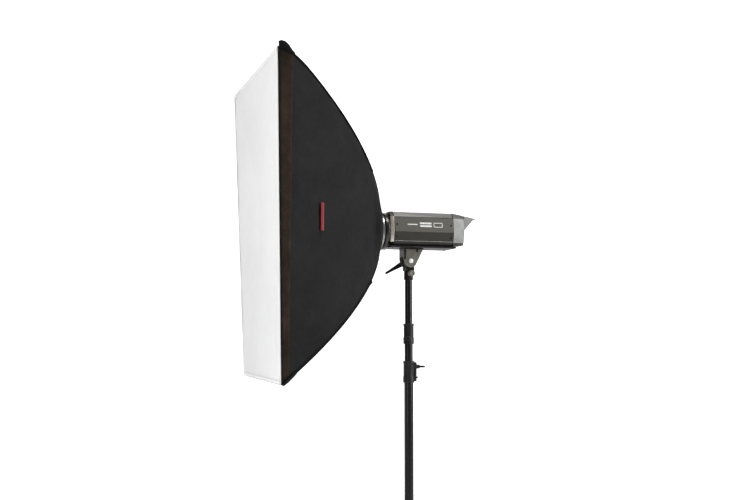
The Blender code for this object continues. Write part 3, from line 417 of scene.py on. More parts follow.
def scratch_group():
    """Long fine marks along one direction, from 0 to 1."""
    group, start, end = new_group(
        "drawn grain",
        [("Vector", "NodeSocketVector", None), ("Stretch", "NodeSocketVector", (1.0, 1.0, 1.0))],
        [("Value", "NodeSocketFloat")],
    )
    scale = group.nodes.new("ShaderNodeVectorMath")
    scale.operation = "MULTIPLY"
    group.links.new(start.outputs["Vector"], scale.inputs[0])
    group.links.new(start.outputs["Stretch"], scale.inputs[1])
    cloud = group.nodes.new("ShaderNodeTexNoise")
    cloud.inputs["Scale"].default_value = 1.0
    cloud.inputs["Detail"].default_value = 6.0
    group.links.new(scale.outputs[0], cloud.inputs["Vector"])
    group.links.new(cloud.outputs["Fac"], end.inputs["Value"])
    return group


def stitch_group():
    """A row of stitches at one height of a strip: 1 on the thread and 0 beside it."""
    group, start, end = new_group(
        "stitch row",
        [("Vector", "NodeSocketVector", None), ("Height", "NodeSocketFloat", 0.004),
         ("Pitch", "NodeSocketFloat", 0.0042)],
        [("Mask", "NodeSocketFloat")],
    )
    parts = group.nodes.new("ShaderNodeSeparateXYZ")
    group.links.new(start.outputs["Vector"], parts.inputs[0])
    above_line = math_node(group, "SUBTRACT", parts.outputs["Y"], start.outputs["Height"])
    away = math_node(group, "ABSOLUTE", above_line)
    on_line = math_node(group, "LESS_THAN", away, 0.00045)
    turns = math_node(group, "FRACT", math_node(group, "DIVIDE", parts.outputs["X"], start.outputs["Pitch"]))
    in_stitch = math_node(group, "LESS_THAN", turns, 0.68)
    group.links.new(math_node(group, "MULTIPLY", on_line, in_stitch), end.inputs["Mask"])
    return group


GROUPS = {
    "mottle": mottle_group(),
    "weave": weave_group(),
    "dust": dust_group(),
    "grain": scratch_group(),
    "stitch": stitch_group(),
}


def use_group(tree, name, vector, **values):
    """A node that uses one of the groups, fed with coordinates and plain values."""
    node = tree.nodes.new("ShaderNodeGroup")
    node.node_tree = GROUPS[name]
    tree.links.new(vector, node.inputs["Vector"])
    for label, value in values.items():
        node.inputs[label].default_value = value
    return node


def coordinates(tree, kind="Object"):
    """Texture coordinates: places in the frame, or places on the flat pattern with UV."""
    return tree.nodes.new("ShaderNodeTexCoord").outputs[kind]


def mixed(tree, factor, first, second):
    """A colour between two, where each is a socket or a plain colour."""
    node = tree.nodes.new("ShaderNodeMix")
    node.data_type = "RGBA"
    for socket, value in ((node.inputs[0], factor), (node.inputs[6], first), (node.inputs[7], second)):
        if isinstance(value, bpy.types.NodeSocket):
            tree.links.new(value, socket)
        elif isinstance(value, (int, float)):
            socket.default_value = value
        else:
            socket.default_value = (*value, 1)
    return node.outputs[2]


def spread(tree, value, low_value, high_value, start=0.3, end=0.7):
    """A value carried from start..end to another span."""
    node = tree.nodes.new("ShaderNodeMapRange")
    node.inputs["From Min"].default_value = start
    node.inputs["From Max"].default_value = end
    node.inputs["To Min"].default_value = low_value
    node.inputs["To Max"].default_value = high_value
    tree.links.new(value, node.inputs["Value"])
    return node.outputs[0]


def new_material(name, roughness, metallic=0.0):
    """A material with its node tree and its shader node."""
    material = bpy.data.materials.new(name)
    material.use_nodes = True
    shader = material.node_tree.nodes["Principled BSDF"]
    shader.inputs["Roughness"].default_value = roughness
    shader.inputs["Metallic"].default_value = metallic
    return material, material.node_tree, shader


def surface(name, dark, light, roughness, metallic, scale, bump, dust, grain=None, coat=0.0, specular=0.5,
            above=None, painted_shade_below=None):
    """A hard surface with uneven colour, uneven polish, fine relief and a little dust.

    The bands above and under the axis are each a height from the optical axis and the colour past it, painted
    light and shade by height.
    """
    material, tree, shader = new_material(name, roughness[0], metallic)
    where = coordinates(tree)
    mottle = use_group(tree, "mottle", where, Scale=scale)
    uneven = mottle.outputs["Value"]
    if grain:
        uneven = use_group(tree, "grain", where, Stretch=grain).outputs["Value"]
    colour = mixed(tree, spread(tree, uneven, 0.0, 1.0), tone(dark), tone(light))
    parts = tree.nodes.new("ShaderNodeSeparateXYZ")
    tree.links.new(where, parts.inputs[0])
    # Painted light and shade: a flat colour past a height above the axis and another past a height under it.
    for operation, edge in (("GREATER_THAN", above), ("LESS_THAN", painted_shade_below)):
        if edge:
            mask = math_node(tree, operation, parts.outputs["Z"], AXIS_HEIGHT + edge[0])
            colour = mixed(tree, mask, colour, tone(edge[1]))
    settled_dust = use_group(tree, "dust", where).outputs["Mask"]
    veil = math_node(tree, "MULTIPLY", settled_dust, dust)
    tree.links.new(mixed(tree, veil, colour, tone("8a8580")), shader.inputs["Base Color"])
    tree.links.new(spread(tree, mottle.outputs["Fine"], *roughness), shader.inputs["Roughness"])
    relief = tree.nodes.new("ShaderNodeBump")
    relief.inputs["Strength"].default_value = bump
    relief.inputs["Distance"].default_value = 0.0006
    tree.links.new(uneven if grain else mottle.outputs["Fine"], relief.inputs["Height"])
    tree.links.new(relief.outputs["Normal"], shader.inputs["Normal"])
    shader.inputs["Coat Weight"].default_value = coat
    shader.inputs["Specular IOR Level"].default_value = specular
    return material


def cloth(name, dark, light, roughness, threads, relief, sheen, stitches=(), thread="1a1817",
          through=0.0, scale=5.0, specular=0.25):
    """A woven cloth on its own flat pattern, with rows of stitches at given heights of the pattern."""
    material, tree, shader = new_material(name, roughness)
    flat = coordinates(tree, "UV")
    weave = use_group(tree, "weave", flat, Threads=threads, Strength=relief)
    mottle = use_group(tree, "mottle", coordinates(tree), Scale=scale)
    uneven = math_node(tree, "ADD", math_node(tree, "MULTIPLY", mottle.outputs["Value"], 0.6),
                       math_node(tree, "MULTIPLY", mottle.outputs["Fine"], 0.25))
    uneven = math_node(tree, "ADD", uneven, math_node(tree, "MULTIPLY", weave.outputs["Height"], 0.15))
    colour = mixed(tree, spread(tree, uneven, 0.0, 1.0, 0.3, 0.7), tone(dark), tone(light))
    for height in stitches:
        row = use_group(tree, "stitch", flat, Height=height)
        colour = mixed(tree, row.outputs["Mask"], colour, tone(thread))
    tree.links.new(colour, shader.inputs["Base Color"])
    tree.links.new(weave.outputs["Normal"], shader.inputs["Normal"])
    shader.inputs["Sheen Weight"].default_value = sheen
    shader.inputs["Sheen Roughness"].default_value = 0.5
    shader.inputs["Specular IOR Level"].default_value = specular
    if through:
        shader.inputs["Subsurface Weight"].default_value = through
        shader.inputs["Subsurface Radius"].default_value = (0.004, 0.004, 0.004)
    return material


def glass(name, tint, roughness):
    """A clear or frosted glass with a faint uneven tint."""
    material, tree, shader = new_material(name, roughness)
    mottle = use_group(tree, "mottle", coordinates(tree), Scale=40.0)
    tree.links.new(mixed(tree, spread(tree, mottle.outputs["Value"], 0.0, 1.0), tone(tint), tone("ffffff")),
                   shader.inputs["Base Color"])
    polish = spread(tree, mottle.outputs["Fine"], roughness, roughness + 0.08)
    tree.links.new(polish, shader.inputs["Roughness"])
    shader.inputs["Transmission Weight"].default_value = 0.85
    return material


MATERIALS = {
    "side_cloth": cloth("black softbox cloth", "19191a", "272728", 0.78, 1100.0, 0.30, 0.01,
                        specular=0.05),
    "hem_cloth": cloth("black hem tape", "0d0a08", "362b22", 0.80, 700.0, 0.8, 0.02, specular=0.06,
                       scale=16.0, stitches=(0.0025, 0.0255)),
    "sleeve_cloth": cloth("black binding", "070707", "0f0f0f", 0.78, 600.0, 0.5, 0.02, specular=0.1),
    "pocket_cloth": cloth("black corner webbing", "070707", "101010", 0.75, 420.0, 0.8, 0.02, specular=0.1),
    "white_cloth": cloth("white diffusing cloth", "e9e9ea", "f6f6f6", 0.9, 1000.0, 0.12, 0.05, through=0.25,
                         scale=2.4),
    "white_border": cloth("white border tape", "f3f3f3", "ffffff", 0.85, 700.0, 0.3, 0.05,
                          stitches=(0.002, 0.010), thread="d8d8d8"),
    "red_label": cloth("red woven label", "650a10", "860f17", 0.7, 520.0, 0.6, 0.15),
    # The side panels' lower facet, under the fold, is painted darker: painted shade.
    "head_grey": surface("grey head enamel", "55534d", "65625b", (0.36, 0.46), 0.45, 60.0, 0.05, 0.08,
                         grain=(220.0, 700.0, 700.0), painted_shade_below=(-0.0042, "34322d")),
    # The top cover above the upper edge is painted lighter: painted highlight.
    "casing": surface("casing enamel", "0b0a0a", "151313", (0.34, 0.46), 0.1, 30.0, 0.06, 0.06,
                      above=(0.0475, "504d49")),
    "head_black": surface("black head enamel", "141111", "1f1b1b", (0.45, 0.55), 0.0, 30.0, 0.06, 0.06,
                          specular=0.15),
    # The trim is pale only in a middle band, darker above it and near black under it: painted shade.
    "bezel": surface("pale anodised trim", "aba395", "c8c0b2", (0.30, 0.40), 0.85, 60.0, 0.05, 0.02,
                     grain=(900.0, 30.0, 30.0), above=(0.0465, "23211f"), painted_shade_below=(-0.0385, "100f0f")),
    # A darker band along the top and near black along the bottom of the moulding: painted shade.
    "cap_grey": surface("light grey moulding", "7a7b79", "90918f", (0.42, 0.52), 0.0, 40.0, 0.08, 0.10,
                        above=(0.0450, "494845"), painted_shade_below=(-0.0375, "111110")),
    "hood_grey": surface("grey visor moulding", "737472", "838481", (0.42, 0.52), 0.0, 40.0, 0.08, 0.10),
    "gloss_black": surface("glossy black moulding", "0b0b0c", "151515", (0.22, 0.34), 0.0, 30.0, 0.05, 0.12,
                           coat=0.2),
    "satin_black": surface("satin black moulding", "0d0d0d", "181818", (0.42, 0.56), 0.0, 60.0, 0.15, 0.12,
                           specular=0.3),
    "tube_black": surface("black anodised tube", "131314", "1d1d1e", (0.24, 0.34), 0.55, 20.0, 0.03, 0.10,
                          grain=(160.0, 160.0, 8.0)),
    "bracket_grey": surface("olive grey casting", "5a584f", "737063", (0.45, 0.58), 0.25, 50.0, 0.14, 0.10),
    "bright_bolt": surface("bright plated bolt", "e2e2e0", "f4f4f2", (0.40, 0.50), 0.35, 50.0, 0.02, 0.0),
    "steel": surface("polished steel", "b9b8b4", "dddcd8", (0.12, 0.22), 1.0, 50.0, 0.02, 0.03),
    "spring_steel": surface("plated spring steel", "85857f", "a9a9a3", (0.22, 0.34), 1.0, 50.0, 0.03, 0.02),
    "insert": surface("satin aluminium", "8b8a84", "a5a49d", (0.26, 0.36), 0.95, 50.0, 0.03, 0.02,
                      grain=(30.0, 700.0, 700.0)),
    "screw": surface("blackened screw", "141414", "242424", (0.30, 0.42), 0.7, 80.0, 0.08, 0.08),
    "rubber": surface("black rubber", "151515", "222221", (0.78, 0.90), 0.0, 45.0, 0.25, 0.30),
    "print": surface("pale print", "bdbdbb", "d6d6d4", (0.55, 0.65), 0.0, 80.0, 0.02, 0.04),
    # Pale lines along the casing's edges: painted highlights.
    "painted_edge_highlight": surface("bright edge", "8f8c86", "b5b2ac", (0.30, 0.40), 0.7, 60.0, 0.02, 0.02),
    "ceramic": surface("glazed ceramic", "b9b3a6", "cfcabe", (0.35, 0.5), 0.0, 50.0, 0.06, 0.04),
    "board": surface("green circuit board", "123d22", "1c5a33", (0.35, 0.5), 0.0, 90.0, 0.06, 0.06),
    "lamp_glass": glass("frosted lamp glass", "f1f4f4", 0.25),
    "tube_glass": glass("clear tube glass", "eef6f8", 0.05),
    "red_lens": surface("red indicator", "8c0f10", "c2201c", (0.12, 0.2), 0.0, 50.0, 0.02, 0.02, coat=0.5),
    "brass": surface("brass contact", "9c7b3a", "bf9a50", (0.22, 0.34), 1.0, 60.0, 0.04, 0.02),
}


# ---------------------------------------------------------------- softbox cloth
def cloth_relief(point, lengthwise, to_seam, to_front, seed):
    """How far the cloth stands proud: broad unevenness, puckers at the seams and creases behind the hem."""
    broad = 0.0016 * noise.noise(point * 7.0 + Vector((seed, 0, 0)))
    fine = 0.0005 * noise.noise(point * 26.0 + Vector((0, seed, 0)))
    pucker = 0.0013 * math.exp(-to_seam / 0.022) * noise.noise(Vector((lengthwise * 62.0, seed * 3.1, 0.4)))
    crease = 0.0020 * math.exp(-to_front / 0.055) * noise.noise(
        Vector((point.y * 34.0 + point.z * 30.0, seed * 1.7, to_front * 12.0))
    )
    hold = min(1.0, to_seam / 0.006)
    return (broad + fine + pucker + crease) * hold


def cloth_grid(side, rho_from, rho_to, rows, columns, lift=0.0, relief=1.0, ease=True):
    """A grid on one cloth side with a flat pattern in metres: u runs across, v from the front edge back."""
    bm = bmesh.new()
    bm.loops.layers.uv.new("pattern")
    seed = list(SIDES).index(side) * 5.3 + 1.0
    grid, flat, lengths = [], {}, 0.0
    previous = None
    share = TOP_SHARE if SIDES[side][1] == "y" else SIDE_SHARE
    for r in range(rows + 1):
        part = r / rows
        if ease:
            part = (1 - math.cos(math.pi * part)) / 2
        rho = rho_to + (rho_from - rho_to) * part
        half_span = rho * share
        trim = 1 - SEAM_GAP / half_span
        middle = cloth_point(side, rho, 0)
        lengths += (middle - previous).length if previous else 0.0
        previous = middle
        row = []
        for c in range(columns + 1):
            across = (2 * c / columns - 1) * trim
            vert = bm.verts.new(cloth_point(side, rho, across))
            flat[vert] = (across * half_span, lengths, half_span * (1 - abs(across)))
            row.append(vert)
        grid.append(row)
    grid_faces(bm, grid, columns, lambda r, c: flat[grid[r][c]][:2])
    bm.normal_update()
    middle = grid[rows // 2][columns // 2]
    away = Vector((0, *(middle.co - along(0))[1:]))
    if middle.normal.dot(away) < 0:
        bmesh.ops.reverse_faces(bm, faces=bm.faces)
        bm.normal_update()
    moves = {}
    for vert, (_, v, to_seam) in flat.items():
        raised = lift + relief * cloth_relief(vert.co, v + vert.co.x, to_seam, v, seed)
        moves[vert] = vert.normal * raised
    for vert, move in moves.items():
        vert.co += move
    return bm, lengths


def flat_area(bm):
    """The area of a sheet's faces."""
    return sum(face.calc_area() for face in bm.faces)


def thicken(obj, thickness, offset=-1.0):
    """Gives a sheet its thickness, inwards from its points or, with no offset, both ways."""
    sheet = obj.modifiers.new("cloth thickness", "SOLIDIFY")
    sheet.thickness = thickness
    sheet.offset = offset
    sheet.use_even_offset = True
    return obj


def let_settle(obj, held, slack, frames, reach):
    """Lets the cut's slack and gravity shape a cloth held along some of its points, and keeps the result."""
    start = [vert.co.copy() for vert in obj.data.vertices]
    held_points = obj.vertex_groups.new(name="held")
    held_points.add(held, 1.0, "REPLACE")
    modifier = obj.modifiers.new("settling", "CLOTH")
    settings = modifier.settings
    settings.quality = 5
    settings.mass = 0.0006
    settings.tension_stiffness = 30
    settings.compression_stiffness = 30
    settings.shear_stiffness = 12
    settings.bending_stiffness = 0.6
    settings.air_damping = 2.0
    settings.shrink_min = -slack
    settings.vertex_group_mass = held_points.name
    modifier.collision_settings.use_collision = False
    modifier.collision_settings.use_self_collision = False
    modifier.point_cache.frame_start = 1
    modifier.point_cache.frame_end = frames
    scene = bpy.context.scene
    for number in range(1, frames + 1):
        scene.frame_set(number)
    graph = bpy.context.evaluated_depsgraph_get()
    settled_points = [vert.co.copy() for vert in obj.evaluated_get(graph).data.vertices]
    obj.modifiers.remove(modifier)
    obj.vertex_groups.remove(held_points)
    for vert, old, new in zip(obj.data.vertices, start, settled_points):
        move = new - old
        if move.length > reach:
            move *= reach / move.length
        vert.co = old + move
    scene.frame_set(1)


def rim_points(obj):
    """The points on a sheet's open edges."""
    counts = {}
    for polygon in obj.data.polygons:
        for key in polygon.edge_keys:
            counts[key] = counts.get(key, 0) + 1
    return sorted({index for key, count in counts.items() if count == 1 for index in key})


def cloth_sides():
    """Four stretched cloth sides, each between two rods, with a tape hem along the front edge."""
    for side in SIDES:
        bm, length = cloth_grid(side, REAR_RADIUS, HALF_DIAGONAL, 58, 48)
        area = flat_area(bm)
        obj = finish_piece("cloth_" + side, bm, "softbox", "side_cloth", ["panel_" + side],
                           smooth=80, clean=False)
        let_settle(obj, rim_points(obj), 0.004, 22, 0.004)
        thicken(obj, 0.0008)
        hem = front_hem(side)


HEM_DEPTH = 0.022


def front_hem(side):
    """A doubled tape sewn round the front edge, a little wavy."""
    back = HALF_DIAGONAL - HEM_DEPTH * 0.93
    bm, _ = cloth_grid(side, back, HALF_DIAGONAL, 7, 72, lift=0.0012, relief=1.35, ease=False)
    obj = finish_piece("hem_" + side, bm, "softbox", "hem_cloth", smooth=80,
                       clean=False)
    return thicken(obj, 0.0009)


def seam_sleeves():
    """The rod sleeve along each corner seam, bound in black, thicker where the rod enters it."""
    for corner in CORNERS:
        bm = bmesh.new()
        start, stop, steps = 0.213, HALF_DIAGONAL - 0.006, 46
        entry = 1.1 if CORNERS[corner][1] < 0 else 0.15
        path, sizes = [], []
        for i in range(steps + 1):
            part = i / steps
            rho = start + (stop - start) * part
            swell = 1 + entry * math.exp(-((part - 0.02) / 0.022) ** 2)
            rounding = min(1.0, 0.35 + part * 40, 0.35 + (1 - part) * 60)
            waver = 0.0004 * noise.noise(Vector((rho * 60, CORNERS[corner][0] * 3, CORNERS[corner][1] * 5)))
            path.append(seam_point(corner, rho) - outward(corner) * 0.0012 + outward(corner) * waver)
            sizes.append((0.0040 * rounding * (0.8 + 0.2 * swell), 0.0034 * rounding * swell))
        sweep(bm, path, sizes, outward(corner), 12, 2.3)
        finish_piece("sleeve_" + corner, bm, "softbox", "sleeve_cloth", smooth=70)


def binding_edges():
    """The narrow bound seam between two cloth sides, from the rear opening to where the sleeve begins."""
    for corner in CORNERS:
        bm = bmesh.new()
        start, step, count, sunk = REAR_RADIUS + 0.018, 0.0102, 14, 0.0006
        path = [seam_point(corner, start + i * step) - outward(corner) * sunk for i in range(count)]
        sweep(bm, path, (0.0022, 0.0018), outward(corner), 8, 2.2)
        finish_piece("seam_" + corner, bm, "softbox", "sleeve_cloth", smooth=70)


# Corner pockets as (distance behind the front, top above the seam, half width)
RAISED_POCKET = ((0.023, 0.0060, 0.0050), (0.018, 0.0080, 0.0085), (0.013, 0.0125, 0.0095),
                 (0.009, 0.0185, 0.0095), (0.005, 0.0220, 0.0090), (0.002, 0.0205, 0.0075),
                 (0.0003, 0.0150, 0.0045))
FLAT_POCKET = ((0.041, 0.0022, 0.0070), (0.027, 0.0040, 0.0085), (0.014, 0.0050, 0.0090),
               (0.0045, 0.0048, 0.0075), (0.0004, 0.0032, 0.0038))


def corner_pockets():
    """The webbing pockets that take the rods' tips; the one at the top left stands up as an ear."""
    for corner in CORNERS:
        bm = bmesh.new()
        raised = corner == "top_left"
        path, sizes = [], []
        for behind, top, half_width in RAISED_POCKET if raised else FLAT_POCKET:
            at = seam_point(corner, HALF_DIAGONAL - behind)
            path.append(at + outward(corner) * (top - 0.003) / 2 + X_AXIS * (-0.001 if raised else 0.002))
            sizes.append((half_width, (top + 0.003) / 2))
        sweep(bm, path, sizes, outward(corner), 16, 2.6)
        bmesh.ops.subdivide_edges(bm, edges=bm.edges[:], cuts=1, use_grid_fill=True, smooth=0.4)
        finish_piece("pocket_" + corner, bm, "softbox", "pocket_cloth", smooth=70)


def flat_sheet(half_y, half_z, columns, rows, shape):
    """An upright grid with a flat pattern in metres; shape gives each point."""
    bm = bmesh.new()
    bm.loops.layers.uv.new("pattern")
    grid, flat = [], {}
    for r in range(rows + 1):
        row = []
        for c in range(columns + 1):
            y, z = (2 * c / columns - 1) * half_y, (2 * r / rows - 1) * half_z
            vert = bm.verts.new(shape(y, z))
            flat[vert] = (y, min(half_z - abs(z), half_y - abs(y)))
            row.append(vert)
        grid.append(row)
    grid_faces(bm, grid, columns, lambda r, c: flat[grid[r][c]], turned=True)
    bm.normal_update()
    return bm


def diffuser_point(y, z, ahead=0.0):
    """A point of the front cloth: it leans as the whole front does, and is drawn in between its edges."""
    hollow = 0.0022 * (1 - (2 * y / WIDTH) ** 2) * (1 - (2 * z / HEIGHT) ** 2)
    ripple = 0.0008 * noise.noise(Vector((y * 9, z * 5, 2.0)))
    edge = min(WIDTH / 2 - abs(y), HEIGHT / 2 - abs(z))
    pull = 0.0010 * math.exp(-edge / 0.02) * noise.noise(Vector((y * 30, z * 30, 8.0)))
    hold = min(1.0, edge / 0.008)
    return along(-0.0024 - ahead, y, LIFT + z) + X_AXIS * ((hollow + ripple + pull) * hold - lean(y, z))


def front_diffuser():
    """The white front cloth with its sewn border tape, and the black rim that it tucks behind."""
    bm = flat_sheet(WIDTH / 2 - 0.001, HEIGHT / 2 - 0.001, 44, 60, diffuser_point)
    area = flat_area(bm)
    obj = finish_piece("front_cloth", bm, "softbox", "white_cloth", ["front_diffuser"],
                       smooth=80, clean=False)
    let_settle(obj, rim_points(obj), 0.0015, 20, 0.004)
    thicken(obj, 0.0005, 0.0)
    border = border_tape("front_border", WIDTH / 2 - 0.0005, HEIGHT / 2 - 0.0005, 0.012, 0.0012,
                         "white_border")
    rim = front_rim()


def border_tape(name, half_y, half_z, depth, ahead, material):
    """A flat tape round the front cloth's edge."""
    bm = bmesh.new()
    pattern = bm.loops.layers.uv.new("pattern")
    corners = [(-1, -1), (1, -1), (1, 1), (-1, 1)]
    for (y0, z0), (y1, z1) in zip(corners, corners[1:] + corners[:1]):
        steps = 40
        strips = []
        for i in range(steps + 1):
            t = i / steps
            line = []
            for k in range(3):
                inset = depth * k / 2
                y = (y0 + (y1 - y0) * t) * (half_y - inset)
                z = (z0 + (z1 - z0) * t) * (half_z - inset)
                wave = 0.0004 * noise.noise(Vector((y * 40, z * 40, 3.0)))
                base = diffuser_point(y, z, ahead + wave)
                line.append((bm.verts.new(base), (t * 2 * max(half_y, half_z), inset)))
            strips.append(line)
        for first, second in zip(strips, strips[1:]):
            for k in range(2):
                face = bm.faces.new([first[k][0], second[k][0], second[k + 1][0], first[k + 1][0]])
                pairs = dict([first[k], second[k], second[k + 1], first[k + 1]])
                for loop in face.loops:
                    loop[pattern].uv = pairs[loop.vert]
    obj = finish_piece(name, bm, "softbox", material, smooth=80)
    return thicken(obj, 0.0007, 0.0)


def front_rim():
    """The black piping that closes the front edge."""
    bm = bmesh.new()
    path = [Vector(point) for point in rounded_outline(WIDTH / 2 + 0.0004, HEIGHT / 2 + 0.0004, 0.010, 6)]
    points = []
    for a, b in zip(path, path[1:] + path[:1]):
        steps = max(1, int((b - a).length / 0.02))
        for i in range(steps):
            y, z = a + (b - a) * i / steps
            wave = 0.0006 * noise.noise(Vector((y * 26, z * 26, 5.0)))
            points.append(along(0.0008 + wave, y, LIFT + z) - X_AXIS * lean(y, z))
    sweep(bm, points, (0.0013, 0.0016), Vector((1, 0.001, 0.002)), 8, 2.0, closed=True)
    return finish_piece("front_piping", bm, "softbox", "sleeve_cloth", smooth=70)


def inner_baffle():
    """The inner diffusing cloth: it hangs by elastic straps from the rods and sags between them."""
    lowest, highest = low("inner_baffle"), high("inner_baffle")
    middle = (lowest + highest) / 2
    half_y, half_z = (highest.y - lowest.y) / 2, (highest.z - lowest.z) / 2
    held_within, hem = 0.02, 0.006

    def shape(y, z):
        u, v = y / half_y, z / half_z
        waist_y = y * (1 - 0.055 * (1 - v * v))
        waist_z = z * (1 - 0.045 * (1 - u * u))
        sag = 0.006 * (1 - u * u) * (1 - v * v) + 0.0012 * noise.noise(Vector((y * 12, z * 10, 4.0)))
        return middle + Vector((sag - 0.003, waist_y, waist_z))

    bm = flat_sheet(half_y, half_z, 26, 34, shape)
    area = flat_area(bm)
    obj = finish_piece("baffle_cloth", bm, "softbox", "white_cloth", ["inner_baffle"],
                       smooth=80, clean=False)
    places = {index: obj.data.vertices[index].co for index in rim_points(obj)}
    corners = [index for index, at in places.items() if abs(abs(at.y) - half_y) < held_within
               and abs(abs(at.z - middle.z) - half_z) < held_within]
    let_settle(obj, corners, 0.0, 16, 0.010)
    thicken(obj, 0.0005, 0.0)
    for corner, (side_sign, top_sign) in CORNERS.items():
        start = middle + Vector((-0.003, side_sign * (half_y - hem), top_sign * (half_z - hem)))
        rho = rho_at(partial(seam_point, corner), middle.x + ROD_INSET + 0.004)
        stop = seam_point(corner, rho, ROD_INSET)
        stop -= outward(corner) * 0.003
        strap = bmesh.new()
        way = [start.lerp(stop, t / 8) + Vector((0.0008 * math.sin(t * 0.8), 0, -0.0006 * t * (8 - t) / 8))
               for t in range(9)]
        sweep(strap, way, (0.0055, 0.0007), X_AXIS, 10, 4.0)
        finish_piece("baffle_strap_" + corner, strap, "softbox", "sleeve_cloth",
                                   smooth=70)


def rho_at(point_at, x):
    """The radius at which a curve of the cloth, given as a function of the radius, passes a given depth."""
    near, far = HALF_DIAGONAL, REAR_RADIUS
    for _ in range(40):
        middle = (near + far) / 2
        if point_at(middle).x < x:
            near = middle
        else:
            far = middle
    return (near + far) / 2


def rear_cuff():
    """The elastic collar gathered round the rear opening."""
    bm = bmesh.new()
    bm.loops.layers.uv.new("pattern")
    rows, columns, gathers = 6, 96, 24
    length, pitch, grid = 0.020, 0.0042, []
    for r in range(rows + 1):
        row = []
        for c in range(columns):
            angle = 2 * math.pi * c / columns
            rho = REAR_RADIUS + 0.0004 + length * (1 - r / rows) * 0.55
            gather = 0.0006 * math.sin(gathers * angle) * (r / rows)
            reach = rho + 0.0020 + gather
            share = math.sin(angle)
            x = FRONT_X + seam_distance(rho, max(-1.0, min(1.0, share * 1.25)))
            row.append(bm.verts.new(settled(x, reach * math.cos(angle), reach * share, rho)))
        grid.append(row)
    grid_faces(bm, grid, columns, lambda r, c: (c * pitch, r * length / rows))
    obj = finish_piece("rear_cuff", bm, "softbox", "hem_cloth", smooth=70)
    thicken(obj, 0.0010, 0.0)


def left_side_at(z, rho):
    """The point of the left cloth side at a given height and radius."""
    return cloth_point("left", rho, max(-1.0, min(1.0, z / (TOP_SHARE * rho))))


def red_label():
    """A plain woven label sewn upright on the left cloth side."""
    width, height, x, z = 0.0110, 0.086, FRONT_X + 0.147, 0.006
    bm = bmesh.new()
    bm.loops.layers.uv.new("pattern")
    columns, rows, proud = 4, 18, Vector((0.0007, -0.0021, 0))
    grid = []
    for r in range(rows + 1):
        row = []
        for c in range(columns + 1):
            height_here = z + height * (r / rows - 0.5)
            rho = rho_at(partial(left_side_at, height_here), x + width * (c / columns - 0.5))
            across = height_here / (TOP_SHARE * rho)
            row.append(bm.verts.new(cloth_point("left", rho, across) + proud))
        grid.append(row)
    grid_faces(bm, grid, columns, lambda r, c: (c * width / columns, r * height / rows))
    obj = finish_piece("red_label", bm, "softbox", "red_label", smooth=70)
    return thicken(obj, 0.0007, 0.0)


def build_softbox():
    """The cloth with its trimmings, the baffle, the speed ring and the four spring rods."""
    cloth_sides()
    seam_sleeves()
    binding_edges()
    corner_pockets()
    front_diffuser()
    inner_baffle()
    rear_cuff()
    red_label()
    softened("speed_ring", "softbox", "head_black", 0.0006)
    for corner in CORNERS:
        bm = bmesh.new()
        rod_start, rod_end, steps = 0.073, 0.574, 60
        radii = [rod_start + (rod_end - rod_start) * i / steps for i in range(steps + 1)]
        path = [seam_point(corner, rho, ROD_INSET) for rho in radii]
        sweep(bm, path, (0.002, 0.002), X_AXIS, 12)
        finish_piece("spring_rod_" + corner, bm, "softbox", "spring_steel", ["rod_" + corner],
                     smooth=50)


# ---------------------------------------------------------------- flash head
def screw(bm, at, direction, radius):
    """A pan-head screw with a round dimple for its drive."""
    profile = [(0, 0), (1, 0), (1, 0.25), (0.86, 0.48), (0.55, 0.60), (0.34, 0.60), (0.20, 0.30), (0, 0.28)]
    lathe(bm, [(radius * across, radius * up) for across, up in profile], at, direction, 20)


def side_facing(sign, z):
    """Where a folded side panel is at a height: its Y, the way it faces and the way up along it."""
    upper, fold, lower = (0.0570, 0.0435), (0.0647, -0.004), (0.0575, -0.0345)
    (y0, z0), (y1, z1) = (fold, upper) if z > fold[1] else (lower, fold)
    share = (z - z0) / (z1 - z0)
    slope = Vector((0, y1 - y0, z1 - z0)).normalized()
    facing = Vector((0, slope.z, -slope.y))
    facing, up = Vector((0, sign * facing.y, facing.z)), Vector((0, sign * slope.y, slope.z))
    return y0 + (y1 - y0) * share, facing, up


def on_side(sign, distance, z, proud):
    """A frame on the side panel: local X along the head, local Y up the panel, local Z out of it."""
    y, facing, up = side_facing(sign, z)
    at = along(distance, sign * y, z) + facing * proud
    way = up.cross(facing)
    return basis(at, way, up)


def side_panels():
    """Folded side covers with four screws each, a pale line painted as the highlight along the lower lip, and
    a plain generic print.
    """
    for side, sign in (("left", -1), ("right", 1)):
        softened("side_panel_" + side, "head", "head_grey", 0.0008)
        bm = bmesh.new()
        for distance in (0.4565, 0.6480):
            for z in (0.0200, -0.0220):
                _, facing, _ = side_facing(sign, z)
                place = on_side(sign, distance, z, 0.0)
                screw(bm, place.translation, facing, 0.0029)
        finish_piece("side_screws_" + side, bm, "head", "screw", smooth=40)
        # A pale line along the lower lip: painted highlight.
        bm = bmesh.new()
        y, _, _ = side_facing(sign, -0.0335)
        path = [along(0.4490 + 0.2060 * i / 12, sign * (y + 0.0004), -0.0351) for i in range(13)]
        sweep(bm, path, (0.0008, 0.0008), Z_AXIS, 10)
        finish_piece("side_highlight_line_" + side, bm, "head", "painted_edge_highlight")
        bm = bmesh.new()
        prism(bm, rounded_outline(0.0175, 0.0018, 0.0016), 0.0003, on_side(sign, 0.5100, 0.0205, 0.0002))
        for row, half in ((0.0250, 0.0205), (0.0155, 0.0205)):
            prism(bm, rounded_outline(half, 0.0030, 0.0008), 0.0003, on_side(sign, 0.5570, row, 0.0002))
        place = on_side(sign, 0.6010, 0.0200, 0.0003)
        outer, inner = ([bm.verts.new(place @ Vector((u, v, 0))) for u, v in rounded_outline(*sizes)]
                        for sizes in ((0.0160, 0.0080, 0.0030), (0.0138, 0.0058, 0.0018)))
        for i in range(len(outer)):
            j = (i + 1) % len(outer)
            bm.faces.new([outer[i], outer[j], inner[j], inner[i]])
        finish_piece("side_print_" + side, bm, "head", "print")


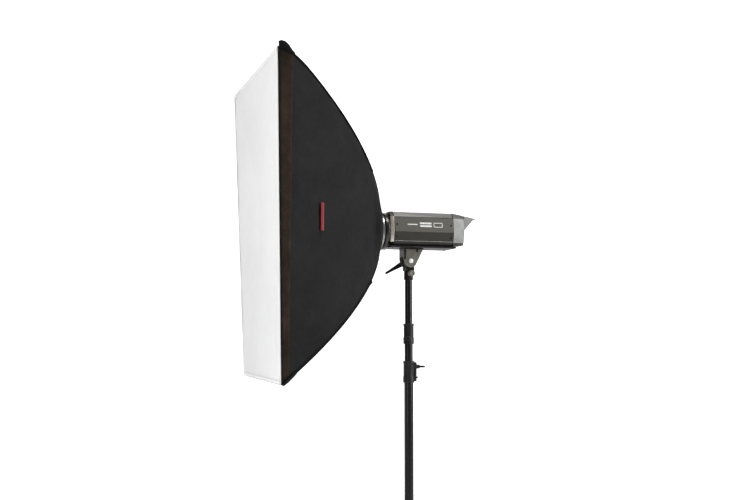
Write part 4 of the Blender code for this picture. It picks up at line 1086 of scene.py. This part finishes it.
def front_mount():
    """The bayonet insert, the ribbed front ring, the trim frame behind it, the lock screw and the latch."""
    bm = bmesh.new()
    inner, sleeve, lip, flange = 0.049, 0.055, 0.059, 0.0615
    profile = [(inner, 0.3860), (lip - 0.0008, 0.3860), (lip, 0.3868), (lip, 0.3892), (lip - 0.0005, 0.3895),
               (sleeve, 0.3895), (sleeve, 0.4068), (flange - 0.0008, 0.4068), (flange, 0.4076),
               (flange, 0.4142), (flange - 0.0008, 0.4150), (inner, 0.4150)]
    lathe(bm, profile, along(0), X_AXIS, 96, closed=True)
    finish_piece("insert_turned", bm, "head", "insert", ["ring_insert"], smooth=32)
    bm = bmesh.new()
    bore, outer, front, rear = 0.0495, 0.063, 0.4155, 0.4337
    profile = [(bore, front + 0.0006), (bore + 0.0006, front), (outer - 0.0050, front),
               (outer - 0.0012, front + 0.0022), (outer, front + 0.0036), (outer, rear - 0.0040),
               (outer - 0.0008, rear - 0.0032), (outer - 0.0008, rear - 0.0024), (outer, rear - 0.0016),
               (outer - 0.0008, rear), (bore, rear)]
    lathe(bm, profile, along(0), X_AXIS, 120, closed=True, flutes=60, flute_depth=0.0006,
          fluted=(front + 0.0034, rear - 0.0038))
    finish_piece("front_ring_turned", bm, "head", "gloss_black", ["front_ring"], smooth=50)
    softened("front_bezel", "head", "bezel", 0.0012, segments=3)
    bottom = low("ring_lock_screw").z
    at = Vector((centre("ring_lock_screw").x, 0, bottom))
    bm = bmesh.new()
    profile = [(0, 0), (0.0018, 0), (0.0018, 0.0040), (0.0026, 0.0044), (0.0035, 0.0060), (0.0035, 0.0158),
               (0.0029, 0.0172), (0, 0.0175)]
    lathe(bm, profile, at, Z_AXIS, 60, flutes=15, flute_depth=0.0005, fluted=(0.0058, 0.0160))
    finish_piece("lock_screw_knurled", bm, "lock_screw", "screw", ["ring_lock_screw"],
                 smooth=45)
    bm = copied("bayonet_latch")
    latch = centre("bayonet_latch")
    for i in range(4):
        block(bm, (0.0011, 0.0100, 0.0010), latch + Vector((-0.0045 + 0.003 * i, 0, 0.0022)))
    finish_piece("latch_ribbed", bm, "latch", "satin_black", ["bayonet_latch"], 0.0004)


def head_body():
    """The extruded casing, its bottom plate, the light end frame and the visor."""
    softened("flash_shell", "head", "casing", 0.0010, segments=3)
    softened("bottom_plate", "head", "head_black", 0.0009)
    softened("rear_cap", "head", "cap_grey", 0.0012, segments=3)
    softened("rear_hood", "head", "hood_grey", 0.0007)
    softened("circuit_board", "head", "board", 0.0002)
    softened("capacitor", "head", "satin_black", 0.0010)
    bm = bmesh.new()
    top = high("flash_shell").z
    for row in (-1, 1):
        for i in range(9):
            at = Vector((FRONT_X + 0.560 + 0.0095 * i, row * 0.019, top + 0.0001))
            prism(bm, rounded_outline(0.0022, 0.0125, 0.0021), 0.0006, Matrix.Translation(at))
    finish_piece("top_vents", bm, "head", "gloss_black")
    bm = bmesh.new()
    for sign in (-1, 1):
        for distance in (0.4530, 0.6520):
            screw(bm, Vector((FRONT_X + distance, sign * 0.031, top)), Z_AXIS, 0.0026)
        for distance in (0.4460, 0.6600):
            at = Vector((FRONT_X + distance, sign * 0.040, low("bottom_plate").z))
            screw(bm, at, -Z_AXIS, 0.0026)
    finish_piece("casing_screws", bm, "head", "screw", smooth=40)
    # Pale lines along the top's edges: painted highlights.
    bm = bmesh.new()
    for sign in (-1, 1):
        path = [Vector((FRONT_X + 0.4500 + 0.2050 * i / 10, sign * 0.0398, top - 0.0002)) for i in range(11)]
        sweep(bm, path, (0.0007, 0.0007), Z_AXIS, 8)
    finish_piece("top_highlight_lines", bm, "head", "painted_edge_highlight")


def lamps():
    """The lamp base, the ring flash tube on its two feet and the modelling lamp."""
    bm = bmesh.new()
    profile = [(0, 0.4040), (0.0130, 0.4040), (0.0140, 0.4050), (0.0140, 0.4200), (0.0455, 0.4200),
               (0.0465, 0.4212), (0.0465, 0.4335), (0, 0.4335)]
    lathe(bm, profile, along(0), X_AXIS, 64)
    finish_piece("lamp_base_glazed", bm, "head", "ceramic", ["lamp_base"], smooth=40)
    bm = bmesh.new()
    tube_radius, steps = 0.030, 64
    turns = [2 * math.pi * i / steps for i in range(steps)]
    ring = [along(0.400, tube_radius * math.cos(turn), tube_radius * math.sin(turn)) for turn in turns]
    sweep(bm, ring, (0.004, 0.004), X_AXIS, 12, closed=True)
    for sign in (-1, 1):
        foot = [along(0.401 + 0.0063 * i, sign * tube_radius) for i in range(4)]
        sweep(bm, foot, (0.0025, 0.0025), Z_AXIS, 12)
    finish_piece("flash_tube_bent", bm, "head", "tube_glass", ["flash_tube"], smooth=50)
    bm = bmesh.new()
    bulb, steps = 0.013, 14
    turns = [0.12 + 2.0 * (i / steps) for i in range(steps + 1)]
    profile = [(bulb * math.sin(turn), 0.363 - bulb * math.cos(turn)) for turn in turns]
    profile = [(0, 0.3500)] + profile + [(0.0095, 0.3745), (0.0085, 0.380), (0.0085, 0.4035), (0, 0.4035)]
    lathe(bm, profile, along(0), X_AXIS, 40)
    finish_piece("modelling_lamp_blown", bm, "head", "lamp_glass", ["modelling_lamp"], smooth=50)
    softened("cooling_fan", "fan", "satin_black", 0.0003)


def panel_ticks(bm, middle, radius, count, face):
    """A dial's scale of short ticks, longer at its ends and middle."""
    for i in range(count):
        angle = math.radians(-135 + 270 * i / (count - 1))
        way = Vector((0, math.sin(angle), math.cos(angle)))
        half = 0.0013 if i in (0, count // 2, count - 1) else 0.0008
        place = basis(middle + way * (radius + half) + X_AXIS * face, way.cross(X_AXIS), way)
        prism(bm, rounded_outline(0.00028, half, 0.00025, 2), 0.0003, place)


def rear_controls():
    """Two pointer dials with scales, a test button, a rocker switch, a mains inlet and two indicators."""
    softened("control_panel", "head", "satin_black", 0.0004)
    face = high("control_panel").x
    prints = bmesh.new()
    for node in ("power_dial", "lamp_dial"):
        lowest, highest = low(node), high(node)
        middle = Vector((lowest.x, (lowest.y + highest.y) / 2, (lowest.z + highest.z) / 2))
        radius, tall = (highest.y - lowest.y) / 2, highest.x - lowest.x
        bm = bmesh.new()
        profile = [(0, 0), (radius, 0), (radius, 0.0016), (radius * 0.90, 0.0024),
                   (radius * 0.86, tall - 0.0014), (radius * 0.80, tall - 0.0004), (radius * 0.70, tall),
                   (radius * 0.62, tall - 0.0004), (0, tall - 0.0004)]
        lathe(bm, profile, middle, X_AXIS, 96, flutes=24, flute_depth=0.0006, fluted=(0.0023, tall - 0.0012))
        finish_piece(node + "_knurled", bm, node, "satin_black", [node], smooth=40)
        bm = bmesh.new()
        at = middle + Vector((tall - 0.0002, 0, radius * 0.36))
        prism(bm, rounded_outline(0.0004, radius * 0.30, 0.0003, 2), 0.0006, basis(at, Y_AXIS, Z_AXIS))
        finish_piece(node + "_pointer", bm, node, "print")
        panel_ticks(prints, Vector((face, middle.y, middle.z)), radius + 0.0016, 11, 0.00012)
    for y, z, half in ((0.020, -0.0215, 0.006), (-0.022, -0.0235, 0.006), (0.0, 0.0345, 0.012)):
        prism(prints, rounded_outline(half, 0.0006, 0.0005, 2), 0.0003,
              basis(Vector((face + 0.00012, y, AXIS_HEIGHT + z)), Y_AXIS, Z_AXIS))
    finish_piece("panel_scales", prints, "head", "print")
    lenses = bmesh.new()
    for y in (-0.004, 0.004):
        lathe(lenses, [(0, 0), (0.0015, 0), (0.0015, 0.0006), (0.0010, 0.0013), (0, 0.0016)],
              Vector((face, y, AXIS_HEIGHT - 0.004)), X_AXIS, 20)
    finish_piece("panel_indicators", lenses, "head", "red_lens", smooth=60)
    test, radius = low("test_button"), 0.0045
    button = centre("test_button")
    bm = bmesh.new()
    tall = high("test_button").x - test.x
    profile = [(0, 0), (radius, 0), (radius, tall - 0.0012), (radius * 0.85, tall - 0.0003),
               (radius * 0.5, tall), (0, tall)]
    lathe(bm, profile, Vector((test.x, button.y, button.z)), X_AXIS, 36)
    finish_piece("test_button_domed", bm, "button", "cap_grey", ["test_button"], smooth=45)
    collar = bmesh.new()
    profile = [(radius + 0.0006, 0), (radius + 0.0022, 0), (radius + 0.0020, 0.0010),
               (radius + 0.0006, 0.0010)]
    lathe(collar, profile, Vector((face, button.y, button.z)), X_AXIS, 36, closed=True)
    switch = centre("power_switch")
    half_y = (high("power_switch").y - low("power_switch").y) / 2
    outer = rounded_outline(half_y + 0.0022, 0.0112, 0.0018)
    inner = rounded_outline(half_y + 0.0006, 0.0096, 0.0008)
    place = basis(Vector((face + 0.0001, switch.y, switch.z)), Y_AXIS, Z_AXIS)
    rings = [[collar.verts.new(place @ Vector((u, v, h))) for u, v in points]
             for points, h in ((outer, 0.0), (outer, 0.0009), (inner, 0.0009), (inner, 0.0))]
    for a, b in zip(rings, rings[1:] + rings[:1]):
        for i in range(len(outer)):
            j = (i + 1) % len(outer)
            collar.faces.new([a[i], a[j], b[j], b[i]])
    finish_piece("panel_collars", collar, "head", "gloss_black", smooth=30)
    softened("power_switch", "switch", "gloss_black", 0.0004)
    softened("mains_inlet", "head", "gloss_black", 0.0005)
    bm = bmesh.new()
    inlet = centre("mains_inlet")
    for y, z in ((0, 0.0028), (-0.0062, -0.0022), (0.0062, -0.0022)):
        block(bm, (0.0042, 0.0015, 0.0036), Vector((face + 0.0036, inlet.y + y, inlet.z + z)), bevel=0.0004)
    finish_piece("inlet_pins", bm, "head", "brass")


# ---------------------------------------------------------------- tilt bracket and socket
def tilt_bracket():
    """A cast channel: fan-shaped cheeks, a top plate held by screws, and a front web; the black web and the
    black patches on the cheeks are painted shade.
    """
    lowest, highest = low("tilt_bracket"), high("tilt_bracket")
    sheet, gap = 0.003, 0.0003
    top = highest.z - PIVOT.z
    half = (highest.y - lowest.y) / 2
    lobe = arc((0, 0), 0.0225, 190, 322, 30)
    outline = [(0.0445, top - 0.0022), (-0.0245, top - 0.0022), (-0.0245, 0.004)] + lobe
    bm = bmesh.new()
    for sign in (-1, 1):
        place = basis(PIVOT + Y_AXIS * sign * (half - sheet / 2 - gap), X_AXIS, Z_AXIS)
        prism(bm, outline, sheet, place)
        boss = Vector((PIVOT.x, sign * (half - gap - 0.0002), PIVOT.z))
        profile = [(0.0045, 0), (0.0115, 0), (0.0105, 0.0004), (0.0045, 0.0004)]
        lathe(bm, profile, boss, Y_AXIS * sign, 48, closed=True)
    finish_piece("bracket_cast", bm, "head", "bracket_grey", ["tilt_bracket"], 0.0006)
    bm = bmesh.new()
    size = (highest.x - lowest.x, 2 * half, sheet)
    block(bm, size, Vector(((lowest.x + highest.x) / 2, 0, highest.z - sheet / 2)))
    # The front web is black: painted shade.
    block(bm, (sheet, 2 * half - 2 * sheet, 0.026), Vector((lowest.x + 0.0025, 0, highest.z - 0.0145)))
    # Black patches on both cheeks, along the front edge and at a notch near the top: painted shade.
    for sign in (-1, 1):
        face = PIVOT + Y_AXIS * sign * (half - gap + 0.0001)
        block(bm, (0.0075, 0.0008, 0.036), face + Vector((-0.0205, 0, top - 0.0195)))
        block(bm, (0.0075, 0.0008, 0.0095), face + Vector((0.0225, 0, top - 0.0070)))
    finish_piece("bracket_top_and_painted_shade", bm, "head", "satin_black", bevel=0.0003)
    bm = bmesh.new()
    for x in (0.0020, 0.0330):
        screw(bm, Vector((PIVOT.x + x, 0, highest.z - sheet)), -Z_AXIS, 0.0036)
    finish_piece("bracket_screws", bm, "head", "steel", smooth=40)
    bolt = bmesh.new()
    outer = low("pivot_bolt").y
    length = high("pivot_bolt").y - outer
    profile = [(0, 0), (0.0026, 0.0001), (0.0052, 0.0004), (0.0070, 0.0010), (0.0079, 0.0019),
               (0.0080, 0.0030), (0.0040, 0.0030), (0.0040, length), (0, length)]
    lathe(bolt, profile, Vector((PIVOT.x, outer, PIVOT.z)), Y_AXIS, 40)
    finish_piece("pivot_bolt_domed", bolt, "head", "bright_bolt", ["pivot_bolt"], smooth=40)


def tilt_lever():
    """The long clamping handle: a round boss and a bar that narrows to a rounded tip."""
    inner, outer = low("tilt_lever").y, high("tilt_lever").y
    angle, reach, tip = math.radians(210), 0.084, 0.0045
    way = Vector((math.cos(angle), 0, math.sin(angle)))
    middle = (inner + outer) / 2
    bm = bmesh.new()
    width = outer - inner
    profile = [(0, 0), (0.0104, 0), (0.0115, 0.0012), (0.0115, width - 0.0022), (0.0098, width),
               (0.0062, width), (0.0056, width - 0.0010), (0, width - 0.0010)]
    lathe(bm, profile, Vector((PIVOT.x, inner, PIVOT.z)), Y_AXIS, 48)
    path, sizes = [], []
    steps = 16
    for i in range(steps + 1):
        part = i / steps
        distance = 0.004 + (reach - 0.0045) * part
        half = 0.0098 + (tip - 0.0098) * min(1.0, part * 1.25)
        end = 1.0 if part < 0.93 else math.sqrt(max(0.08, 1 - ((part - 0.93) / 0.075) ** 2))
        path.append(Vector((PIVOT.x, middle, PIVOT.z)) + way * distance)
        sizes.append((half * end, (0.0058 - 0.0008 * part) * end))
    sweep(bm, path, sizes, Y_AXIS, 20, 2.6)
    finish_piece("lever_moulded", bm, "lever", "satin_black", ["tilt_lever"], smooth=50)
    bm = bmesh.new()
    lathe(bm, [(0, 0), (0.0048, 0), (0.0048, 0.0004), (0.0030, 0.0010), (0, 0.0010)],
          Vector((PIVOT.x, outer - 0.0012, PIVOT.z)), Y_AXIS, 32)
    finish_piece("lever_cap", bm, "lever", "steel", smooth=40)


def stand_socket():
    """The tilting block with its round barrel, and the knob that grips the stand's spigot."""
    softened("stand_socket", "swivel", "head_black", 0.0005)
    knob_low, knob_high = low("socket_knob"), high("socket_knob")
    height = (knob_low.z + knob_high.z) / 2
    grip = (knob_high.z - knob_low.z) / 2
    end = -knob_low.y
    shoulder = 0.0192
    bm = bmesh.new()
    profile = [(0, 0.0088), (0.003, 0.0088), (0.003, shoulder), (grip - 0.003, shoulder),
               (grip - 0.0012, shoulder + 0.0022), (grip, shoulder + 0.0044), (grip, end - 0.0020),
               (grip - 0.0014, end - 0.0004), (grip - 0.0036, end), (grip - 0.0050, end - 0.0008),
               (0, end - 0.0008)]
    lathe(bm, profile, Vector((STAND.x, 0, height)), -Y_AXIS, 72, flutes=9, flute_depth=0.0013,
          fluted=(shoulder + 0.0040, end - 0.0012))
    finish_piece("socket_knob_fluted", bm, "socket_knob", "bracket_grey", ["socket_knob"],
                 smooth=45)


# ---------------------------------------------------------------- stand
def stand_tube(node, body):
    """A drawn tube with rounded rims."""
    lowest, highest = low(node), high(node)
    outer, wall = (highest.x - lowest.x) / 2, 0.0012
    inner = outer - wall
    bottom, top = lowest.z, highest.z
    profile = [(inner, bottom), (outer - 0.0003, bottom), (outer, bottom + 0.0003), (outer, top - 0.0004),
               (outer - 0.0004, top), (inner, top)]
    bm = bmesh.new()
    lathe(bm, profile, STAND, Z_AXIS, 72, closed=True)
    finish_piece(node + "_drawn", bm, body, "tube_black", [node], smooth=40)


def clamp_collar(node, body, outer, screw_height, azimuth, boss_end, lower_bore, upper_bore):
    """A moulded collar in two halves round the tube's end, with a boss for its clamping screw."""
    bottom, top = low(node).z, high(node).z
    lip, step = 0.0012, bottom + (top - bottom) * 0.47
    bm = bmesh.new()
    profile = [(lower_bore, bottom), (outer + lip - 0.0006, bottom), (outer + lip, bottom + 0.0008),
               (outer + lip, bottom + 0.0195), (outer + 0.0002, bottom + 0.0215), (outer, bottom + 0.0225),
               (outer, top - 0.0090), (outer + 0.0003, top - 0.0076), (outer + lip, top - 0.0062),
               (outer + lip, top - 0.0008), (outer + lip - 0.0008, top), (upper_bore, top),
               (upper_bore, step), (lower_bore, step)]
    lathe(bm, profile, STAND, Z_AXIS, 72, closed=True)
    way = Vector((math.cos(azimuth), math.sin(azimuth), 0))
    start = upper_bore + 0.002
    boss = [(0.0034, start), (0.0085, start), (0.0085, boss_end - 0.0010), (0.0075, boss_end),
            (0.0034, boss_end)]
    lathe(bm, boss, STAND + Z_AXIS * screw_height, way, 40, closed=True)
    if node == "base_clamp":
        ear_at = STAND + Vector((0.0215, 0, (bottom + top) / 2))
        block(bm, (0.0090, 0.016, 0.064), ear_at, bevel=0.0016, segments=3)
        bolt_at = STAND + Vector((0.0245, 0, bottom + 0.017))
        lathe(bm, [(0, 0), (0.0035, 0), (0.0035, 0.0068), (0.0028, 0.0080), (0, 0.0080)], bolt_at, X_AXIS, 6)
    finish_piece(node + "_moulded", bm, body, "satin_black", [node], smooth=32)
    bm = bmesh.new()
    turn = math.radians(62)
    for angle in (azimuth + turn, azimuth - turn):
        away = Vector((math.cos(angle), math.sin(angle), 0))
        at = STAND + away * (outer + 0.0001) + Z_AXIS * ((bottom + top) / 2)
        place = basis(at, away.cross(Z_AXIS), Z_AXIS)
        prism(bm, rounded_outline(0.0007, (top - bottom) / 2 - 0.0230, 0.0006, 2), 0.0008, place)
    for height in (bottom + 0.0100, top - 0.0036):
        path = [STAND + Vector(((outer + lip) * math.cos(a), (outer + lip) * math.sin(a), height))
                for a in [2 * math.pi * i / 72 for i in range(72)]]
        sweep(bm, path, (0.0004, 0.0005), Z_AXIS, 8, closed=True)
    finish_piece(node + "_lines", bm, body, "gloss_black")


def wing_knob(node, body, azimuth, height, screw_tip, face):
    """A screw with a two-winged grip on a round hub with a flat end."""
    way = Vector((math.cos(azimuth), math.sin(azimuth), 0))
    level = Vector((way.y, -way.x, 0))
    at = STAND + Z_AXIS * height
    hub_radius, hub_length, wing_length, wing_half = 0.0070, 0.012, 0.022, 0.014
    bm = bmesh.new()
    profile = [(0, screw_tip), (0.0030, screw_tip), (0.0030, face), (hub_radius - 0.0006, face),
               (hub_radius, face + 0.0006), (hub_radius, face + hub_length - 0.0010),
               (hub_radius - 0.0010, face + hub_length), (0, face + hub_length)]
    lathe(bm, profile, at, way, 40)
    start = face + hub_length * 0.55
    wing = [(-0.0066, start), (0.0066, start), (wing_half * 1.02, start + wing_length * 0.50),
            (wing_half * 0.90, start + wing_length * 1.02), (0.0040, start + wing_length * 0.95),
            (0.0, start + wing_length * 0.76), (-0.0040, start + wing_length * 0.95),
            (-wing_half * 0.90, start + wing_length * 1.02), (-wing_half * 1.02, start + wing_length * 0.50)]
    blade = bmesh.new()
    prism(blade, smoothed(wing, 3), 0.0062, basis(at, level, way))
    mesh = bpy.data.meshes.new("wing")
    blade.to_mesh(mesh)
    blade.free()
    bm.from_mesh(mesh)
    bpy.data.meshes.remove(mesh)
    finish_piece(node + "_winged", bm, body, "satin_black", [node], 0.0010, segments=3)


def rivet(bm, at, direction, rings):
    """A low round rivet head; rings are its (radius, height) points from the seat up."""
    lathe(bm, [(0, 0), *rings], at, direction, 24)


def leg_hub(node, body, height):
    """A collar round the base tube with a pair of lugs for each leg, and the rivet heads outside them."""
    bore, outer, half = 0.0158, 0.023, 0.016
    bm = bmesh.new()
    profile = [(bore, -half), (outer - 0.0020, -half), (outer - 0.0006, -half + 0.0008),
               (outer, -half + 0.0022), (outer, half - 0.0022), (outer - 0.0006, half - 0.0008),
               (outer - 0.0020, half), (bore, half)]
    lathe(bm, profile, STAND + Z_AXIS * height, Z_AXIS, 64, closed=True)
    rivets = bmesh.new()
    reach, half_height, inner, sheet = 0.043, 0.0095, 0.0076, 0.0028
    start = outer - 0.003
    for azimuth in LEG_AZIMUTHS.values():
        away = Vector((math.cos(azimuth), math.sin(azimuth), 0))
        across = Vector((-away.y, away.x, 0))
        outline = [(start, -half_height)] + arc((LEG_PIVOT_RADIUS, 0), reach - LEG_PIVOT_RADIUS, -78, 78, 14)
        outline += [(start, half_height)]
        for sign in (-1, 1):
            at = STAND + Z_AXIS * height + across * sign * (inner + sheet / 2)
            prism(bm, outline, sheet, basis(at, away, Z_AXIS))
            head = STAND + Z_AXIS * height + away * LEG_PIVOT_RADIUS + across * sign * (inner + sheet)
            rivet(rivets, head, across * sign, ((0.0036, 0), (0.0033, 0.0008), (0.0022, 0.0014), (0, 0.0017)))
    finish_piece(node + "_moulded", bm, body, "satin_black", [node], 0.0005)
    finish_piece(node + "_rivets", rivets, body, "steel", smooth=50)


def legs():
    """Channel legs with rivets at the knee, flat struts, and rubber feet with grooved sides."""
    for letter, azimuth in LEG_AZIMUTHS.items():
        across = Vector((-math.sin(azimuth), math.cos(azimuth), 0))
        away = Vector((math.cos(azimuth), math.sin(azimuth), 0))
        softened("leg_" + letter, "leg_" + letter, "tube_black", 0.0004)
        softened("strut_" + letter, "strut_" + letter, "tube_black", 0.0005)
        knee = STAND + away * (LEG_PIVOT_RADIUS + STRUT_LENGTH * math.cos(LEG_SLOPE))
        knee += Z_AXIS * (LOWER_HUB_HEIGHT + STRUT_LENGTH * math.sin(LEG_SLOPE))
        bm = bmesh.new()
        for sign in (-1, 1):
            rivet(bm, knee + across * sign * 0.0070, across * sign,
                  ((0.0034, 0), (0.0031, 0.0008), (0.0020, 0.0013), (0, 0.0015)))
        finish_piece("knee_rivets_" + letter, bm, "leg_" + letter, "steel", smooth=50)
        foot = centre("foot_" + letter)
        tall = high("foot_" + letter).z
        at = Vector((foot.x, foot.y, 0))
        radius = 0.0125
        bm = bmesh.new()
        groove = radius - 0.0006
        profile = [(0, 0.0004), (radius - 0.0022, 0.0004), (radius - 0.0016, 0), (radius - 0.0004, 0),
                   (radius, 0.0006), (radius, 0.0052), (groove, 0.0058), (groove, 0.0066), (radius, 0.0072),
                   (radius, 0.0112), (groove, 0.0118), (groove, 0.0126), (radius, 0.0132),
                   (radius, tall - 0.0048), (radius - 0.0014, tall - 0.0014), (radius - 0.0034, tall),
                   (0, tall)]
        lathe(bm, profile, at, Z_AXIS, 48)
        finish_piece("foot_ribbed_" + letter, bm, "leg_" + letter, "rubber", ["foot_" + letter],
                     smooth=40)


def build_stand():
    """The three tubes, their clamps, the two hubs, the legs and the spigot."""
    stand_tube("base_tube", "stand")
    stand_tube("mid_tube", "mid")
    stand_tube("top_tube", "top")
    clamp_collar("base_clamp", "stand", 0.0180, centre("base_clamp_knob").z, 0.0, 0.0260, 0.0158, 0.0143)
    mid_azimuth = math.radians(-115)
    clamp_collar("mid_clamp", "mid", 0.0168, centre("mid_clamp_knob").z, mid_azimuth, 0.0225, 0.0143, 0.0128)
    wing_knob("base_clamp_knob", "base_knob", 0.0, centre("base_clamp_knob").z, 0.0152, 0.0264)
    wing_knob("mid_clamp_knob", "mid_knob", mid_azimuth, centre("mid_clamp_knob").z, 0.0152, 0.0229)
    wing_knob("leg_hub_knob", "hub_knob", 0.0, HUB_HEIGHT, 0.0167, 0.0234)
    leg_hub("leg_hub", "hub", HUB_HEIGHT)
    leg_hub("leg_lower_hub", "stand", LOWER_HUB_HEIGHT)
    legs()
    lowest, highest = low("spigot").z, high("spigot").z
    shank, radius, step = 0.0110, 0.008, high("top_tube").z
    bm = bmesh.new()
    neck, neck_low, neck_high = radius - 0.0015, 1.1000, 1.1130
    profile = [(0, lowest), (shank, lowest), (shank, step), (radius, step), (radius, neck_low),
               (radius - 0.0003, 1.1004), (neck, 1.1020), (neck, 1.1110), (radius - 0.0003, 1.1126),
               (radius, neck_high), (radius, highest - 0.0012), (radius - 0.0012, highest), (0, highest)]
    lathe(bm, profile, STAND, Z_AXIS, 56)
    finish_piece("spigot_turned", bm, "top", "steel", ["spigot"], smooth=35)


# ---------------------------------------------------------------- room, light and camera
def sweep_backdrop():
    """A pale floor that curves up into the wall behind."""
    bm = bmesh.new()
    reach, turn, bend = 22.0, 8.0, 4.0
    profile = [(-reach, 0.0), (turn, 0.0)]
    for angle in [math.pi / 2 * i / 12 for i in range(1, 13)]:
        profile.append((turn + bend * math.sin(angle), bend - bend * math.cos(angle)))
    profile += [(turn + bend, 0.8 * reach)]
    rows = [[bm.verts.new((x, y, z - 0.0005)) for x in (-reach, reach)] for y, z in profile]
    for a, b in zip(rows, rows[1:]):
        bm.faces.new([a[0], a[1], b[1], b[0]])
    mesh = bpy.data.meshes.new("backdrop")
    bm.to_mesh(mesh)
    bm.free()
    mesh.shade_smooth()
    obj = bpy.data.objects.new("backdrop", mesh)
    bpy.context.scene.collection.objects.link(obj)
    material, tree, shader = new_material("paper backdrop", 0.9)
    mottle = use_group(tree, "mottle", coordinates(tree), Scale=2.0)
    paper = mixed(tree, spread(tree, mottle.outputs["Value"], 0.0, 1.0), tone("f7f7f7"), tone("fbfbfb"))
    tree.links.new(paper, shader.inputs["Base Color"])
    shader.inputs["Specular IOR Level"].default_value = 0.0
    depth = tree.nodes.new("ShaderNodeSeparateXYZ")
    tree.links.new(coordinates(tree), depth.inputs[0])
    shader.inputs["Emission Color"].default_value = (1, 1, 1, 1)
    tree.links.new(spread(tree, depth.outputs["Y"], 0.0, 0.95, 0.9, 2.4), shader.inputs["Emission Strength"])
    mesh.materials.append(material)


def area_light(name, at, target, size, power):
    """A rectangular lamp at one point, turned to another; the power is in watts."""
    light = bpy.data.lights.new(name, "AREA")
    light.shape = "RECTANGLE"
    light.size, light.size_y = size
    light.energy = power
    obj = bpy.data.objects.new(name, light)
    bpy.context.scene.collection.objects.link(obj)
    obj.location = at
    obj.rotation_euler = (Vector(target) - Vector(at)).to_track_quat("-Z", "Y").to_euler()


def light_and_camera():
    """A dim even world that the camera sees as near white, three lamps and the camera."""
    world = bpy.data.worlds.new("studio")
    bpy.context.scene.world = world
    world.use_nodes = True
    tree = world.node_tree
    soft, seen = tree.nodes["Background"], tree.nodes.new("ShaderNodeBackground")
    for shade, strength in ((soft, 0.22), (seen, 0.90)):
        shade.inputs["Color"].default_value = (1, 1, 1, 1)
        shade.inputs["Strength"].default_value = strength
    ray, mix = tree.nodes.new("ShaderNodeLightPath"), tree.nodes.new("ShaderNodeMixShader")
    tree.links.new(ray.outputs["Is Camera Ray"], mix.inputs[0])
    tree.links.new(soft.outputs[0], mix.inputs[1])
    tree.links.new(seen.outputs[0], mix.inputs[2])
    tree.links.new(mix.outputs[0], tree.nodes["World Output"].inputs["Surface"])
    area_light("key", (2.6, -1.5, 1.7), (0.1, 0, 1.2), (0.6, 2.2), 75)
    area_light("front_fill", (-1.7, -1.3, 1.35), (-0.38, -0.1, 1.25), (0.6, 1.8), 16)
    area_light("top", (0.7, -0.9, 3.6), (0.2, 0, 1.2), (1.4, 1.0), 50)
    camera = bpy.data.cameras.new("camera")
    camera.lens, camera.sensor_width = 50.0, 36.0
    camera.clip_end = 60.0
    obj = bpy.data.objects.new("camera", camera)
    bpy.context.scene.collection.objects.link(obj)
    obj.location = (FRONT_X - 0.624, -3.333, AXIS_HEIGHT - 0.333)
    obj.rotation_euler = (math.radians(94.42), 0, math.radians(-17.04))
    bpy.context.scene.camera = obj
    bpy.context.scene.view_settings.view_transform = "Standard"


build_softbox()
side_panels()
front_mount()
head_body()
lamps()
rear_controls()
tilt_bracket()
tilt_lever()
stand_socket()
build_stand()
sweep_backdrop()
light_and_camera()
